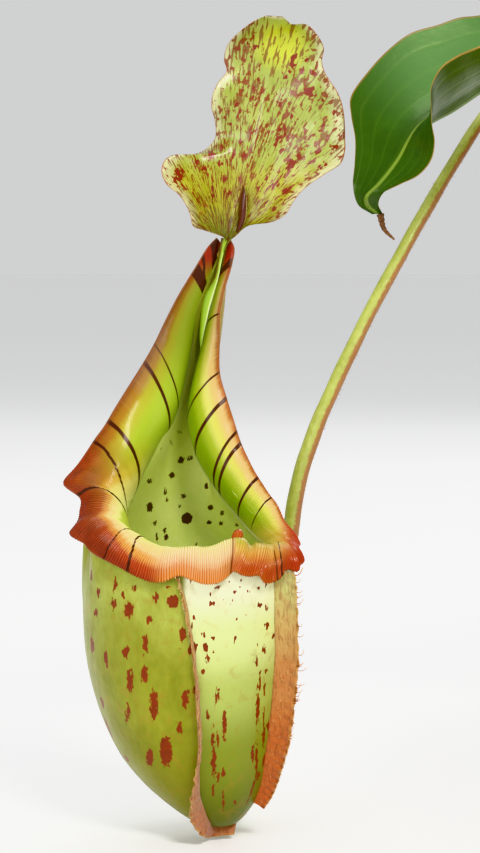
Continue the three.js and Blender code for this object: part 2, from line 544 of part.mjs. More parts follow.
function thinned(ring) {
  return ring.map((p) => {
    const inward = coreAt(p.z).sub(p);
    const distance = inward.length();
    return p.clone().addScaledVector(inward.normalize(), Math.min(CUP.wall, 0.35 * distance));
  });
}

function cupGeometry() {
  const outside = cupRings();
  const foot = cupPoint(0, 0);
  const lip = Array.from({ length: CUP.columns }, (_, k) => rimSeat(k / CUP.columns, innerSeat));
  const inside = [lip, ...outside.slice(1, -1).filter((_, i) => i % 2 === 0 || i > 7).map(thinned).reverse()];
  const well = inside.at(-1).reduce((sum, p) => sum.add(p), vector(0, 0, 0)).divideScalar(CUP.columns);
  const wall = solidOf(skin([[foot], ...outside, ...inside, [well.setZ(foot.z + 3.2)]]));
  return geometryOf(wall.subtract(grownRim()));
}

// The cup filled up and grown by a gap, to cut what stands on its outside.
function filledCup() {
  const foot = cupPoint(0, 0).add(vector(0, 0, -GAP - 0.2));
  return solidOf(skin([[foot], ...cupRings(GAP + 0.1), [vector(0, 5, 170)]]));
}

// A wing: a thin flange up the cup's front with a fringe of curved hairs along its edge.
const WING_WIDTHS = {
  left: profile([
    [0.05, 6], [0.11, 8], [0.22, 9.5], [0.33, 9], [0.56, 7.5], [0.78, 6], [0.89, 4], [1, 2.6], [1.12, 2.2],
  ]),
  right: profile([
    [0.3, 5], [0.36, 6.5], [0.44, 8], [0.56, 11], [0.67, 14], [0.78, 14.5], [0.89, 15], [1, 15], [1.12, 15.5],
  ]),
};
// How far the crest leans over to the viewer's left.
const WING_LEANS = {
  left: profile([[0.22, 0], [0.33, 5], [0.44, 3.5], [0.56, 1.5], [0.67, 0.5], [1.12, 0]]),
  right: profile([[0.3, 0], [1.12, 0]]),
};
const WING_LOW = { left: 0.24, right: 0.34 };
const WING_HIGH = 1.1;
// The left wing runs on under the foot of the cup: root and edge.
const FLAP = [
  [[25, -5, 12], [23, -9, 1.6]], [[17, -6, 9], [15.5, -10.5, 0.8]], [[12, -10, 10], [9.5, -16, 1.2]],
];

function wingGeometry(name) {
  const widthAt = WING_WIDTHS[name];
  const frameAt = (part) => {
    const level = THREE.MathUtils.lerp(WING_LOW[name], WING_HIGH, part);
    const onCup = Math.min(level, 1);
    const azimuth = WING_AZIMUTHS[name](level);
    const root = cupPoint(onCup, azimuth).add(vector(0, 0, (level - onCup) * 150));
    const out = cupNormal(onCup, azimuth);
    const side = cupPoint(onCup, azimuth + 1).sub(cupPoint(onCup, azimuth - 1)).normalize();
    const edge = root.clone().addScaledVector(out, widthAt(level)).addScaledVector(side, -WING_LEANS[name](level));
    const foot = root.clone().addScaledVector(out, -1.6 - (level - onCup) * 50);
    return { foot, out, side, edge, up: side.clone().cross(out) };
  };
  const crossing = (foot, edge, side) => {
    const half = WING.thickness / 2;
    return [
      foot.clone().addScaledVector(side, half), edge.clone().addScaledVector(side, half * 0.7),
      edge.clone().addScaledVector(side, -half * 0.7), foot.clone().addScaledVector(side, -half),
    ];
  };
  const rings = Array.from({ length: WING.steps + 1 }, (_, i) => {
    const { foot, side, edge } = frameAt(i / WING.steps);
    return crossing(foot, edge, side);
  });
  if (name === 'left') {
    rings.unshift(...FLAP.map(([foot, edge], i) => crossing(vector(...foot), vector(...edge),
      vector(0.35 * i, -0.9 + 0.2 * i, 0).normalize())));
  }
  const hairs = Array.from({ length: WING.hairs }, (_, i) => {
    const { out, side, edge, up } = frameAt((i + 0.5) / (WING.hairs + 1));
    const reach = WING.hairLength * smooth(4, 34, edge.z);
    const line = new THREE.CatmullRomCurve3([
      edge.clone().addScaledVector(out, -1.2),
      edge.clone().addScaledVector(out, reach * 0.55).addScaledVector(side, i % 2 ? 0.7 : -0.7),
      edge.clone().addScaledVector(out, reach * 0.85).addScaledVector(up, reach * 0.35),
    ]);
    return solidOf(sweep(line, 2, 3, (t) => WING.hairRadius * (1 - 0.6 * t)));
  });
  const flange = solidOf(skin(rings)).add(joined(hairs));
  return geometryOf(flange.subtract(filledCup()).subtract(grownRim()));
}

// Lid rows from its stalk to its tip: left edge, midrib and right edge.
const LID = [
  [[16.7, 19.4, 304.8], [17.3, 19.4, 304.8], [17.9, 19.4, 304.8]],
  [[17, 18.6, 307.8], [18, 18.6, 307.8], [19, 18.6, 307.8]],
  [[18.4, 17, 311.0], [19.7, 18, 311.0], [21.3, 17, 311.0]],
  [[17.1, 14, 312.5], [20.2, 17, 313.1], [23.9, 14, 313.1]],
  [[8.3, 8, 315.6], [21.3, 16, 316.2], [30.2, 9, 318.2]],
  [[1.6, 3, 318.1], [22.3, 16, 320.4], [43.7, 6, 320.5]],
  [[0.3, 1, 323.3], [23.4, 16, 325.1], [49.9, 6, 324.4]],
  [[-2.0, -1, 328.9], [25.0, 16, 330.3], [53.1, 8, 329.6]],
  [[-6.1, -2, 334.6], [26.5, 16, 335.5], [57.3, 10, 335.4]],
  [[-11.7, -3, 339.2], [28.1, 16, 340.8], [62.0, 11, 339.6]],
  [[-14.5, -3, 345.4], [29.7, 16, 345.5], [70.3, 9, 345.2]],
  [[-13.4, 1, 351.2], [31.0, 16, 350.2], [78.5, 6, 350.8]],
  [[-8.9, 8, 355.0], [32.3, 16, 354.8], [80.6, 6, 357.6]],
  [[1.9, 16, 355.9], [33.6, 16, 359.5], [80.7, 9, 363.9]],
  [[8.7, 21, 359.2], [34.9, 16, 364.2], [80.7, 11, 370.2]],
  [[12.9, 22, 364.5], [36.2, 16, 369.4], [80.2, 11, 376.4]],
  [[12.9, 18, 372.7], [37.5, 16, 375.1], [78.8, 8, 382.5]],
  [[11.1, 12, 380.1], [38.8, 16, 381.4], [76.3, 5, 388.0]],
  [[11.7, 10, 386.2], [40.1, 16, 388.1], [72.9, 5, 393.1]],
  [[14.5, 12, 392.6], [41.4, 15, 394.3], [70.1, 8, 398.0]],
  [[19.0, 14, 398.9], [42.4, 14, 400.5], [68.6, 9, 403.7]],
  [[17.7, 11, 404.4], [43.4, 12, 406.5], [69.5, 6, 409.7]],
  [[19.8, 5, 412.2], [44.4, 9, 412.5], [66.8, 2, 415.5]],
  [[25.5, 0, 417.9], [45.2, 5, 417.3], [60.0, -2, 421.8]],
  [[33.2, -4, 423.2], [45.6, 0, 421.5], [52.7, -4, 421.7]],
  [[39.4, -6, 425.8], [44.5, -5, 425.7], [48.1, -6, 425.3]],
];

function lidGeometry() {
  const across = [-1, -0.78, -0.52, -0.26, 0, 0.26, 0.52, 0.78, 1];
  const rings = LID.map((row) => {
    const [left, middle, right] = row.map((p) => vector(...p));
    const at = (w, back) => {
      const share = Math.abs(w);
      const point = middle.clone().lerp(w < 0 ? left : right, share);
      return point.setY(THREE.MathUtils.lerp(middle.y, (w < 0 ? left : right).y, share * share) + back);
    };
    return [...across.map((w) => at(w, 0)), ...across.toReversed().map((w) => at(w, LID_THICKNESS))];
  });
  return skin(rings, across.length);
}

// The main tendril, in the pitcher's frame: from the tip of leaf 1 down behind the cup, and round under its foot.
function mainTendrilGeometry() {
  const line = new THREE.CatmullRomCurve3([
    tendrilStart(0, 1).sub(PITCHER_AT), vector(160.2, 118, 377.6), vector(132.4, 100, 333.8), vector(114.8, 90, 303.3),
    vector(97.4, 81, 272.1), vector(79, 73, 235.1), vector(67.2, 69, 207.9), vector(58.7, 66, 182),
    vector(53.8, 64, 154), vector(50, 63, 118), vector(48, 60, 78), vector(43, 50, 44), vector(34, 34, 22),
    vector(23, 12, 10), vector(15, -5, 12),
  ]);
  const radiusAt = profile([[0, 2], [0.06, 3.2], [0.4, 3.9], [0.6, 4.4], [0.85, 4.6], [0.96, 5.6], [1, 5.6]]);
  return geometryOf(solidOf(sweep(line, 32, 8, radiusAt)).subtract(filledCup()));
}

const material = (color, roughness) => new THREE.MeshStandardMaterial({ color, roughness, metalness: 0 });
const CLAY = material(0xb8643c, 0.85);
const BARK = material(0x4a3222, 0.95);
const BLADE_GREEN = material(0x2f6b1e, 0.42);
const TENDRIL_GREEN = material(0x9fae4a, 0.5);
const STEM_GREEN = material(0x7d9140, 0.6);
const CUP_GREEN = material(0xb4cf62, 0.38);
const RIM_ORANGE = material(0xc9602e, 0.25);
const WING_BROWN = material(0xc07a3c, 0.5);
const LID_YELLOW = material(0xc3cf5a, 0.35);

function named(name, geometry, finish) {
  const mesh = new THREE.Mesh(geometry, finish);
  mesh.name = name;
  return mesh;
}

const plant = new THREE.Group();
plant.add(named('pot', potGeometry(), CLAY));
plant.add(named('potting_mix', mixGeometry(), BARK));
plant.add(named('stem', stemGeometry(), STEM_GREEN));
plant.add(named('new_leaf', newLeafGeometry(), BLADE_GREEN));
for (let i = 0; i < LEAF.count; i += 1) {
  plant.add(named(`leaf_${i + 1}`, leafGeometry(i), BLADE_GREEN));
  if (i > 0) plant.add(named(`tendril_${i + 1}`, hookGeometry(i), TENDRIL_GREEN));
}

const pitcher = new THREE.Group();
pitcher.position.copy(PITCHER_AT);
pitcher.add(named('tendril_1', mainTendrilGeometry(), TENDRIL_GREEN));
pitcher.add(named('pitcher_cup', cupGeometry(), CUP_GREEN));
pitcher.add(named('peristome', rimSheet(RIM_SHEET.ribs * 2, RIM_SHEET.ribHeight), RIM_ORANGE));
pitcher.add(named('wing_left', wingGeometry('left'), WING_BROWN));
pitcher.add(named('wing_right', wingGeometry('right'), WING_BROWN));
pitcher.add(named('lid', lidGeometry(), LID_YELLOW));
plant.add(pitcher);

export default plant;
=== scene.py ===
"""The looks of a potted nepenthes hybrid: one large ground pitcher on the tendril of the lowest leaf of a
potted plant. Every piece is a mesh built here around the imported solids. Lengths are millimetres in the
functions, and metres in the finished meshes."""

import math

import bmesh
import bpy
import numpy as np
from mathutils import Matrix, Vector


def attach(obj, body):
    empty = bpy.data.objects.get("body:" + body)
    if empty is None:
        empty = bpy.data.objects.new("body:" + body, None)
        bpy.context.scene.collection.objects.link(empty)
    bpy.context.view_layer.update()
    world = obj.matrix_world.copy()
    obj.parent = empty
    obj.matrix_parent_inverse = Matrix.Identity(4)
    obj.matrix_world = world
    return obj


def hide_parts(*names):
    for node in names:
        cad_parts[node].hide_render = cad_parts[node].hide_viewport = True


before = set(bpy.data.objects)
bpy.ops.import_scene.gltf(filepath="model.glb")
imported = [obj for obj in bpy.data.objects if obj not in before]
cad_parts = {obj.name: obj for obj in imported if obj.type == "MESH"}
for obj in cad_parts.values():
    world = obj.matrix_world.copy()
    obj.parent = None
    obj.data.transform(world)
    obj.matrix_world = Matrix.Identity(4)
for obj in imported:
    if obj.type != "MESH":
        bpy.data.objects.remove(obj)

bl_info = {
    "name": "Potted nepenthes",
    "version": (1, 0, 0),
    "blender": (4, 5, 0),
    "location": "3D View > Sidebar > Nepenthes",
    "description": "Builds the looks of a potted nepenthes with one ground pitcher",
    "category": "Object",
}

MM = 0.001
PITCHER_AT = np.array([-430.0, -40.0, 1.5])

# Every random form has its own seed, so that one can change without the others.
SEEDS = {
    "lid crinkle": 5, "lid wave": 6, "wing left": 7, "wing right": 8, "wing": 31, "leaf": 40, "tendril": 51,
    "down": 52, "stem": 61, "pot": 71, "mix": 81, "bark": 91, "perlite": 92, "moss": 93, "chip": 95,
}

# The camera of the photograph, in millimetres: it looks along +Y, tilted down a little.
PHOTO_WIDTH, PHOTO_HEIGHT = 480, 853
CAMERA_TARGET = np.array([-404.0, -40.0, 215.5])
CAMERA_DISTANCE = 1400.0
CAMERA_ELEVATION = math.radians(3.5)
CAMERA_LENS, SENSOR = 113.5, 36.0
CAMERA_BACK = np.array([0.0, -math.cos(CAMERA_ELEVATION), math.sin(CAMERA_ELEVATION)])
CAMERA_UP = np.array([0.0, math.sin(CAMERA_ELEVATION), math.cos(CAMERA_ELEVATION)])
CAMERA_AT = CAMERA_TARGET + CAMERA_DISTANCE * CAMERA_BACK
PIXELS_PER_SLOPE = PHOTO_HEIGHT * CAMERA_LENS / SENSOR


def in_photo(points):
    """The photograph's pixel coordinates of points in the row frame."""
    away = np.asarray(points, float) - CAMERA_AT
    depth = away @ -CAMERA_BACK
    across = PHOTO_WIDTH / 2 + PIXELS_PER_SLOPE * away[..., 0] / depth
    down = PHOTO_HEIGHT / 2 - PIXELS_PER_SLOPE * (away @ CAMERA_UP) / depth
    return np.stack([across, down], -1)


# Curves and profiles
def smooth(low, high, x):
    """0 below low and 1 above high, with a smooth step between them."""
    t = np.clip((np.asarray(x, float) - low) / (high - low), 0, 1)
    return t * t * (3 - 2 * t)


def mixed(a, b, share):
    return a + (b - a) * share


def lengths_of(vectors):
    return np.linalg.norm(vectors, axis=-1, keepdims=True)


def unit(vectors):
    return vectors / np.maximum(lengths_of(vectors), 1e-9)


def profile(pairs):
    """A smooth scalar curve through [place, value] pairs."""
    places, values = np.array(pairs, float).T
    index = np.arange(len(places))
    after = np.minimum(index + 1, len(places) - 1)
    before = np.maximum(index - 1, 0)
    slopes = (values[after] - values[before]) / (places[after] - places[before])

    def at(place):
        place = np.clip(place, places[0], places[-1])
        i = np.clip(np.searchsorted(places, place, side="right") - 1, 0, len(places) - 2)
        width = places[i + 1] - places[i]
        t = (place - places[i]) / width
        rise = t * t * (3 - 2 * t)
        pull = slopes[i] * t * (1 - t) ** 2 - slopes[i + 1] * t * t * (1 - t)
        return values[i] * (1 - rise) + values[i + 1] * rise + width * pull

    return at


class Spline:
    """A smooth curve through points, with knots spaced by the root of the distance between them."""

    def __init__(self, points):
        points = np.array(points, float)
        self.count = len(points) - 1
        ends = [2 * points[0] - points[1]], [2 * points[-1] - points[-2]]
        p = np.concatenate([ends[0], points, ends[1]])
        gaps = np.sqrt(lengths_of(np.diff(p, axis=0)))
        gaps = np.maximum(gaps, 1e-4)
        a, b, c, d = p[:-3], p[1:-2], p[2:-1], p[3:]
        d0, d1, d2 = gaps[:-2], gaps[1:-1], gaps[2:]
        leave = ((b - a) / d0 - (c - a) / (d0 + d1) + (c - b) / d1) * d1
        arrive = ((c - b) / d1 - (d - b) / (d1 + d2) + (d - c) / d2) * d1
        self.terms = b, leave, 3 * (c - b) - 2 * leave - arrive, 2 * (b - c) + leave + arrive

    def at(self, t):
        """Points at parameters t from 0 to 1, with the same share for every pair of control points."""
        place = np.clip(np.asarray(t, float), 0, 1) * self.count
        i = np.minimum(place.astype(int), self.count - 1)
        u = (place - i)[..., None]
        c0, c1, c2, c3 = (term[i] for term in self.terms)
        return c0 + u * (c1 + u * (c2 + u * c3))

    def even(self, u, samples=800):
        """Points at shares u of the curve's length."""
        t = np.linspace(0, 1, samples + 1)
        run = run_along(self.at(t))
        return self.at(np.interp(np.asarray(u, float) * run[-1], run, t))


def bezier(a, b, c, d, t):
    """Points of a cubic curve. The four control points may be arrays of points."""
    t = np.asarray(t, float)[..., None]
    s = 1 - t
    return s ** 3 * a + 3 * s * s * t * b + 3 * s * t * t * c + t ** 3 * d


def angles_round(count):
    """Angles at even steps round a circle."""
    return np.linspace(0, 2 * math.pi, count, endpoint=False)


def run_along(line):
    """How far along a line of points each point is."""
    return np.concatenate([[0], np.cumsum(lengths_of(np.diff(line, axis=0))[:, 0])])


def tangents_along(line):
    ahead = np.concatenate([line[..., 1:, :], line[..., -1:, :]], axis=-2)
    behind = np.concatenate([line[..., :1, :], line[..., :-1, :]], axis=-2)
    return unit(ahead - behind)


def tube_rings(line, radii, sides, start=None):
    """Rings of points round one line. They turn as little as they can along it."""
    line = np.asarray(line, float)
    tangents = tangents_along(line)
    start = np.array([0.0, 0.0, 1.0]) if start is None else np.asarray(start, float)
    if abs(tangents[0] @ unit(start)) > 0.95:
        start = np.array([1.0, 0.0, 0.0])
    side = unit(np.cross(tangents[0], start))
    sides_along = [side]
    for tangent in tangents[1:]:
        side = unit(side - tangent * (side @ tangent))
        sides_along.append(side)
    across = np.array(sides_along)
    other = np.cross(tangents, across)
    angle = angles_round(sides)
    radii = np.broadcast_to(np.asarray(radii, float), (len(line),))
    circle = (np.cos(angle)[None, :, None] * across[:, None] + np.sin(angle)[None, :, None] * other[:, None])
    return line[:, None] + radii[:, None, None] * circle


def hair_rings(lines, radii, sides):
    """Rings for many thin tubes at once. lines is (hairs, steps, 3), and radii one value for each step."""
    tangents = tangents_along(lines)
    helper = np.where(np.abs(tangents[:, :1, 2:]) > 0.9, [1.0, 0.0, 0.0], [0.0, 0.0, 1.0])
    across = unit(np.cross(tangents, helper))
    other = np.cross(tangents, across)
    angle = angles_round(sides)[None, None, :, None]
    circle = np.cos(angle) * across[:, :, None] + np.sin(angle) * other[:, :, None]
    return lines[:, :, None] + np.broadcast_to(radii, lines.shape[:2])[..., None, None] * circle


def ripples(run, table):
    """A sum of sine waves along a line, from (depth, turn for each unit, shift) rows."""
    return sum(depth * np.sin(run * turn + shift) for depth, turn, shift in table)


def waves(points, seed, count=7, low=0.02, high=0.09):
    """A smooth random value from about -1 to 1 at each point, as a sum of plane waves."""
    rng = np.random.default_rng(seed)
    total = np.zeros(np.shape(points)[:-1])
    for _ in range(count):
        direction = unit(rng.normal(size=3)) * rng.uniform(low, high) * 2 * math.pi
        total += np.sin(points @ direction + rng.uniform(0, 2 * math.pi))
    return total / math.sqrt(count)


# Meshes
def width_of(name):
    """flow is a vector at each point, and every other value is a number."""
    return (3,) if name == "flow" else ()


def spread_over(shape, values):
    """The point values, each spread over a whole grid of points."""
    return {
        name: np.broadcast_to(np.asarray(value, float), (*shape, *width_of(name)))
        for name, value in values.items()
    }


class Shape:
    """Gathers the vertices, faces and point values of one mesh, in millimetres."""

    def __init__(self):
        self.points, self.faces, self.finishes, self.values = [], [], [], []
        self.count = 0

    def add_points(self, points, values):
        points = np.asarray(points, float)
        spread = spread_over(points.shape[:-1], values)
        self.points.append(points.reshape(-1, 3))
        self.values.append({name: value.reshape(-1, *width_of(name)) for name, value in spread.items()})
        first = self.count
        self.count += len(self.points[-1])
        return first

    def add_faces(self, faces, finish):
        faces = np.asarray(faces, int)
        self.faces.append(faces)
        self.finishes.append(np.broadcast_to(np.asarray(finish, int), (len(faces),)))

    def grid(self, rings, finish=0, capped=True, **values):
        """A skin over rings of points, with its first and last ring closed by a fan if it is capped."""
        rings = np.asarray(rings, float)
        steps, sides = rings.shape[:2]
        values = spread_over((steps, sides), values)
        first = self.add_points(rings, values)
        number = first + np.arange(steps * sides).reshape(steps, sides)
        wrapped = np.hstack([number, number[:, :1]])
        quads = np.stack([wrapped[:-1, :-1], wrapped[:-1, 1:], wrapped[1:, 1:], wrapped[1:, :-1]], -1)
        self.add_faces(quads.reshape(-1, 4), finish)
        for row in (0, -1) if capped else ():
            self.fan(number[row], rings[row].mean(0), finish, values, row)
        return number

    def fan(self, ring, centre, finish, values, row):
        """Closes a ring with triangles that meet at centre. row is the ring's row in the values."""
        top = self.add_points([centre], {name: value[row].mean(0) for name, value in values.items()})
        after = np.roll(ring, -1)
        self.add_faces(np.stack([ring, after, np.full(len(ring), top)], -1), finish)

    def hairs(self, rings, finish=0, **values):
        """Many tubes at once, each closed to a point at its tip and open where it is rooted."""
        count, steps, sides = rings.shape[:3]
        first = self.add_points(rings, values)
        number = first + np.arange(count * steps * sides).reshape(count, steps, sides)
        wrapped = np.concatenate([number, number[:, :, :1]], axis=2)
        low, high = wrapped[:, :-1], wrapped[:, 1:]
        quads = np.stack([low[..., :-1], low[..., 1:], high[..., 1:], high[..., :-1]], -1)
        self.add_faces(quads.reshape(-1, 4), finish)
        caps = np.concatenate([number[:, -1], number[:, 0, ::-1]])
        self.add_faces(caps, finish)

    def merge(self, points, faces, finish=0, **values):
        first = self.add_points(points, values)
        self.add_faces(np.asarray(faces, int) + first, finish)

    def make(self, name, materials, soft=True):
        """The mesh object, in metres, with its faces turned outwards."""
        points = np.concatenate(self.points) * MM
        sizes = np.concatenate([np.full(len(f), f.shape[1]) for f in self.faces])
        corners = np.concatenate([f.reshape(-1) for f in self.faces])
        mesh = bpy.data.meshes.new(name)
        mesh.vertices.add(len(points))
        mesh.vertices.foreach_set("co", points.astype(np.float32).reshape(-1))
        mesh.loops.add(len(corners))
        mesh.loops.foreach_set("vertex_index", corners.astype(np.int32))
        mesh.polygons.add(len(sizes))
        starts = np.concatenate([[0], np.cumsum(sizes)[:-1]])
        mesh.polygons.foreach_set("loop_start", starts.astype(np.int32))
        mesh.update(calc_edges=True)
        for value_name in sorted({name for values in self.values for name in values}):
            wide = width_of(value_name)
            rows = [np.broadcast_to(values.get(value_name, 0.0), (len(points), *wide))
                    for points, values in zip(self.points, self.values)]
            layer = mesh.attributes.new(value_name, "FLOAT_VECTOR" if wide else "FLOAT", "POINT")
            flat = np.concatenate(rows).astype(np.float32).reshape(-1)
            layer.data.foreach_set("vector" if wide else "value", flat)
        for material in materials:
            mesh.materials.append(material)
        finishes = np.concatenate(self.finishes).astype(np.int32)
        mesh.polygons.foreach_set("material_index", finishes)
        bm = bmesh.new()
        bm.from_mesh(mesh)
        bmesh.ops.recalc_face_normals(bm, faces=bm.faces)
        for face in bm.faces:
            face.smooth = soft
        bm.to_mesh(mesh)
        bm.free()
        mesh.validate()
        obj = bpy.data.objects.new(name, mesh)
        bpy.context.scene.collection.objects.link(obj)
        return obj


def settle(obj, slot, *nodes):
    """The piece rides on the one body and stands for its solids, which it hides. slot is not used."""
    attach(obj, "root")
    if nodes:
        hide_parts(*nodes)
    return obj


# Shader nodes
def srgb(red, green, blue):
    """A linear colour from its display values, 0 to 255."""
    def linear(value):
        value /= 255
        return value / 12.92 if value <= 0.04045 else ((value + 0.055) / 1.055) ** 2.4

    return linear(red), linear(green), linear(blue)


# The main colour that each finish was mixed for.
MAIN_COLOURS = {
    "clay": srgb(182, 107, 69), "bark": srgb(92, 60, 36), "stem": srgb(118, 132, 58), "leaf": srgb(34, 66, 8),
    "tendril": srgb(158, 166, 72), "cup": srgb(146, 152, 60), "lining": srgb(230, 244, 140),
    "rim": srgb(196, 108, 40), "wing": srgb(214, 130, 70), "lid": srgb(162, 172, 76),
}


class Graph:
    """Adds nodes to one material or one group. Its colours are display values, 0 to 255."""

    def __init__(self, tree, tint=(1.0, 1.0, 1.0)):
        self.tree = tree
        self.tint = tint

    def add(self, kind, sockets=(), **settings):
        node = self.tree.nodes.new("ShaderNode" + kind)
        for name, value in settings.items():
            setattr(node, name, value)
        for key, value in dict(sockets).items():
            self.feed(node.inputs[key], value)
        return node

    def feed(self, socket, value):
        if isinstance(value, bpy.types.NodeSocket):
            self.tree.links.new(value, socket)
        elif socket.type == "RGBA" and len(value) == 3:
            socket.default_value = self.tinted(value)
        else:
            socket.default_value = value

    def tinted(self, colour):
        return (*(part * tint for part, tint in zip(srgb(*colour), self.tint)), 1.0)

    def untinted(self, colour):
        """A linear colour that the panel's main colour doesn't tint."""
        node = self.add("RGB")
        node.outputs[0].default_value = (*colour, 1.0)
        return node.outputs[0]

    def math(self, operation, a, b=0.5, clamp=False):
        return self.add("Math", {0: a, 1: b}, operation=operation, use_clamp=clamp).outputs[0]

    def times(self, a, b, clamp=False):
        return self.math("MULTIPLY", a, b, clamp)

    def plus(self, a, b, clamp=False):
        return self.math("ADD", a, b, clamp)

    def minus(self, a, b):
        return self.math("SUBTRACT", a, b)

    def step(self, value, low, high, start=0.0, end=1.0):
        """start below low and end above high, with a smooth step between them."""
        sockets = {"Value": value, "From Min": low, "From Max": high, "To Min": start, "To Max": end}
        return self.add("MapRange", sockets, interpolation_type="SMOOTHSTEP").outputs[0]

    def mix(self, share, a, b):
        return self.add("Mix", {0: share, 6: a, 7: b}, data_type="RGBA").outputs[2]

    def over(self, ground, colour, mask, strength):
        """A colour laid over the ground where the mask is 1, at that strength."""
        return self.mix(self.times(mask, strength), ground, colour)

    def value_of(self, name):
        return self.add("Attribute", attribute_name=name).outputs["Fac"]

    def flow(self):
        return self.add("Attribute", attribute_name="flow").outputs["Vector"]

    def place(self, stretch=(1000.0, 1000.0, 1000.0)):
        """The place on the object in millimetres. A number under 1000 draws texture out along that axis."""
        coordinates = self.add("TexCoord").outputs["Object"]
        return self.add("Mapping", {"Vector": coordinates, "Scale": stretch}).outputs[0]

    def height(self):
        """The height over the floor, in metres."""
        return self.add("SeparateXYZ", {0: self.add("TexCoord").outputs["Object"]}).outputs[2]

    def distance_to(self, spot):
        coordinates = self.add("TexCoord").outputs["Object"]
        return self.add("VectorMath", {0: coordinates, 1: spot}, operation="DISTANCE").outputs["Value"]

    def stretched(self, vector, stretch):
        return self.add("Mapping", {"Vector": vector, "Scale": stretch}).outputs[0]

    def noise(self, vector, scale, detail=2.0, distortion=0.0):
        sockets = {"Vector": vector, "Scale": scale, "Detail": detail, "Distortion": distortion}
        return self.add("TexNoise", sockets).outputs["Fac"]

    def ramp(self, value, stops):
        """A colour ramp through (place, colour) stops."""
        node = self.add("ValToRGB", {"Fac": value})
        bar = node.color_ramp
        bar.interpolation = "EASE"
        while len(bar.elements) < len(stops):
            bar.elements.new(0.5)
        for element, (place, colour) in zip(bar.elements, stops):
            element.position = place
            element.color = self.tinted(colour)
        return node.outputs["Color"]

    def group(self, name, **sockets):
        node = self.add("Group", node_tree=bpy.data.node_groups[name])
        for key, value in sockets.items():
            self.feed(node.inputs[key.replace("_", " ").capitalize()], value)
        return node.outputs[0]


def new_group(name, inputs, output):
    """An empty node group. Returns its graph, its input sockets by name and a function that sets its
    output."""
    tree = bpy.data.node_groups.new(name, "ShaderNodeTree")
    for key, default in inputs.items():
        vector = default is None
        socket_type = "NodeSocketVector" if vector else "NodeSocketFloat"
        socket = tree.interface.new_socket(key, in_out="INPUT", socket_type=socket_type)
        if not vector:
            socket.default_value = default
    tree.interface.new_socket(output, in_out="OUTPUT", socket_type="NodeSocketFloat")
    graph = Graph(tree)
    entry = tree.nodes.new("NodeGroupInput")
    leave = tree.nodes.new("NodeGroupOutput")

    def done(result):
        tree.links.new(result, leave.inputs[0])

    return graph, {key: entry.outputs[key] for key in inputs}, done


def build_groups():
    """The effects that several finishes share."""
    # A mark's edge from its distance field in millimetres, torn by noise.
    inputs = {"Vector": None, "Field": 0.0, "Grain": 0.6, "Tear": 0.8, "Edge": 0.3}
    g, s, done = new_group("Ragged mark", inputs, "Mask")
    torn = g.times(g.minus(g.noise(s["Vector"], s["Grain"], 1.2), 0.5), g.times(s["Tear"], 4.0))
    edge = g.plus(s["Field"], torn)
    inside = g.math("DIVIDE", g.minus(s["Edge"], edge), g.times(s["Edge"], 2.0), clamp=True)
    done(inside)

    # Slow changes of tone over a surface, from 0 to 1.
    g, s, done = new_group("Mottle", {"Vector": None, "Scale": 0.05, "Contrast": 1.0}, "Tone")
    broad = g.noise(s["Vector"], s["Scale"], 3.0, 0.4)
    fine = g.noise(s["Vector"], g.times(s["Scale"], 6.0), 2.0)
    both = g.plus(g.times(broad, 0.7), g.times(fine, 0.3))
    strong = g.times(g.minus(both, 0.5), g.times(s["Contrast"], 2.4))
    done(g.plus(strong, 0.5, clamp=True))

    # Small round specks. Amount is the share of the cells that hold one.
    g, s, done = new_group("Specks", {"Vector": None, "Scale": 0.3, "Amount": 0.3, "Size": 0.25}, "Mask")
    cells = g.add("TexVoronoi", {"Vector": s["Vector"], "Scale": s["Scale"]})
    parts = g.add("SeparateColor", {"Color": cells.outputs["Color"]})
    chosen = g.math("LESS_THAN", parts.outputs[0], s["Amount"])
    size = g.times(s["Size"], g.plus(g.times(parts.outputs[1], 0.8), 0.4))
    dot = g.math("DIVIDE", g.minus(size, cells.outputs["Distance"]), 0.05, clamp=True)
    done(g.times(dot, chosen))

    # The fine relief of a waxy skin, as a height.
    g, s, done = new_group("Skin relief", {"Vector": None, "Scale": 0.4, "Pores": 0.3}, "Height")
    swell = g.noise(s["Vector"], s["Scale"], 2.0)
    grain = g.noise(s["Vector"], g.times(s["Scale"], 9.0), 1.0)
    done(g.plus(swell, g.times(grain, s["Pores"])))

    # Fine lines along one axis of a surface's own coordinates.
    g, s, done = new_group("Fine lines", {"Across": 0.0, "Pitch": 1.0, "Sharpness": 2.0}, "Height")
    turn = g.math("DIVIDE", g.times(s["Across"], 2 * math.pi), s["Pitch"])
    crest = g.plus(g.times(g.math("SINE", turn), 0.5), 0.5)
    done(g.math("POWER", crest, s["Sharpness"]))


def tint_of(name):
    """How far the panel's colour is from the main colour that a finish was mixed for."""
    chosen = getattr(bpy.context.scene.nepenthes_colours, name)
    return tuple(part / main for part, main in zip(chosen, MAIN_COLOURS[name]))


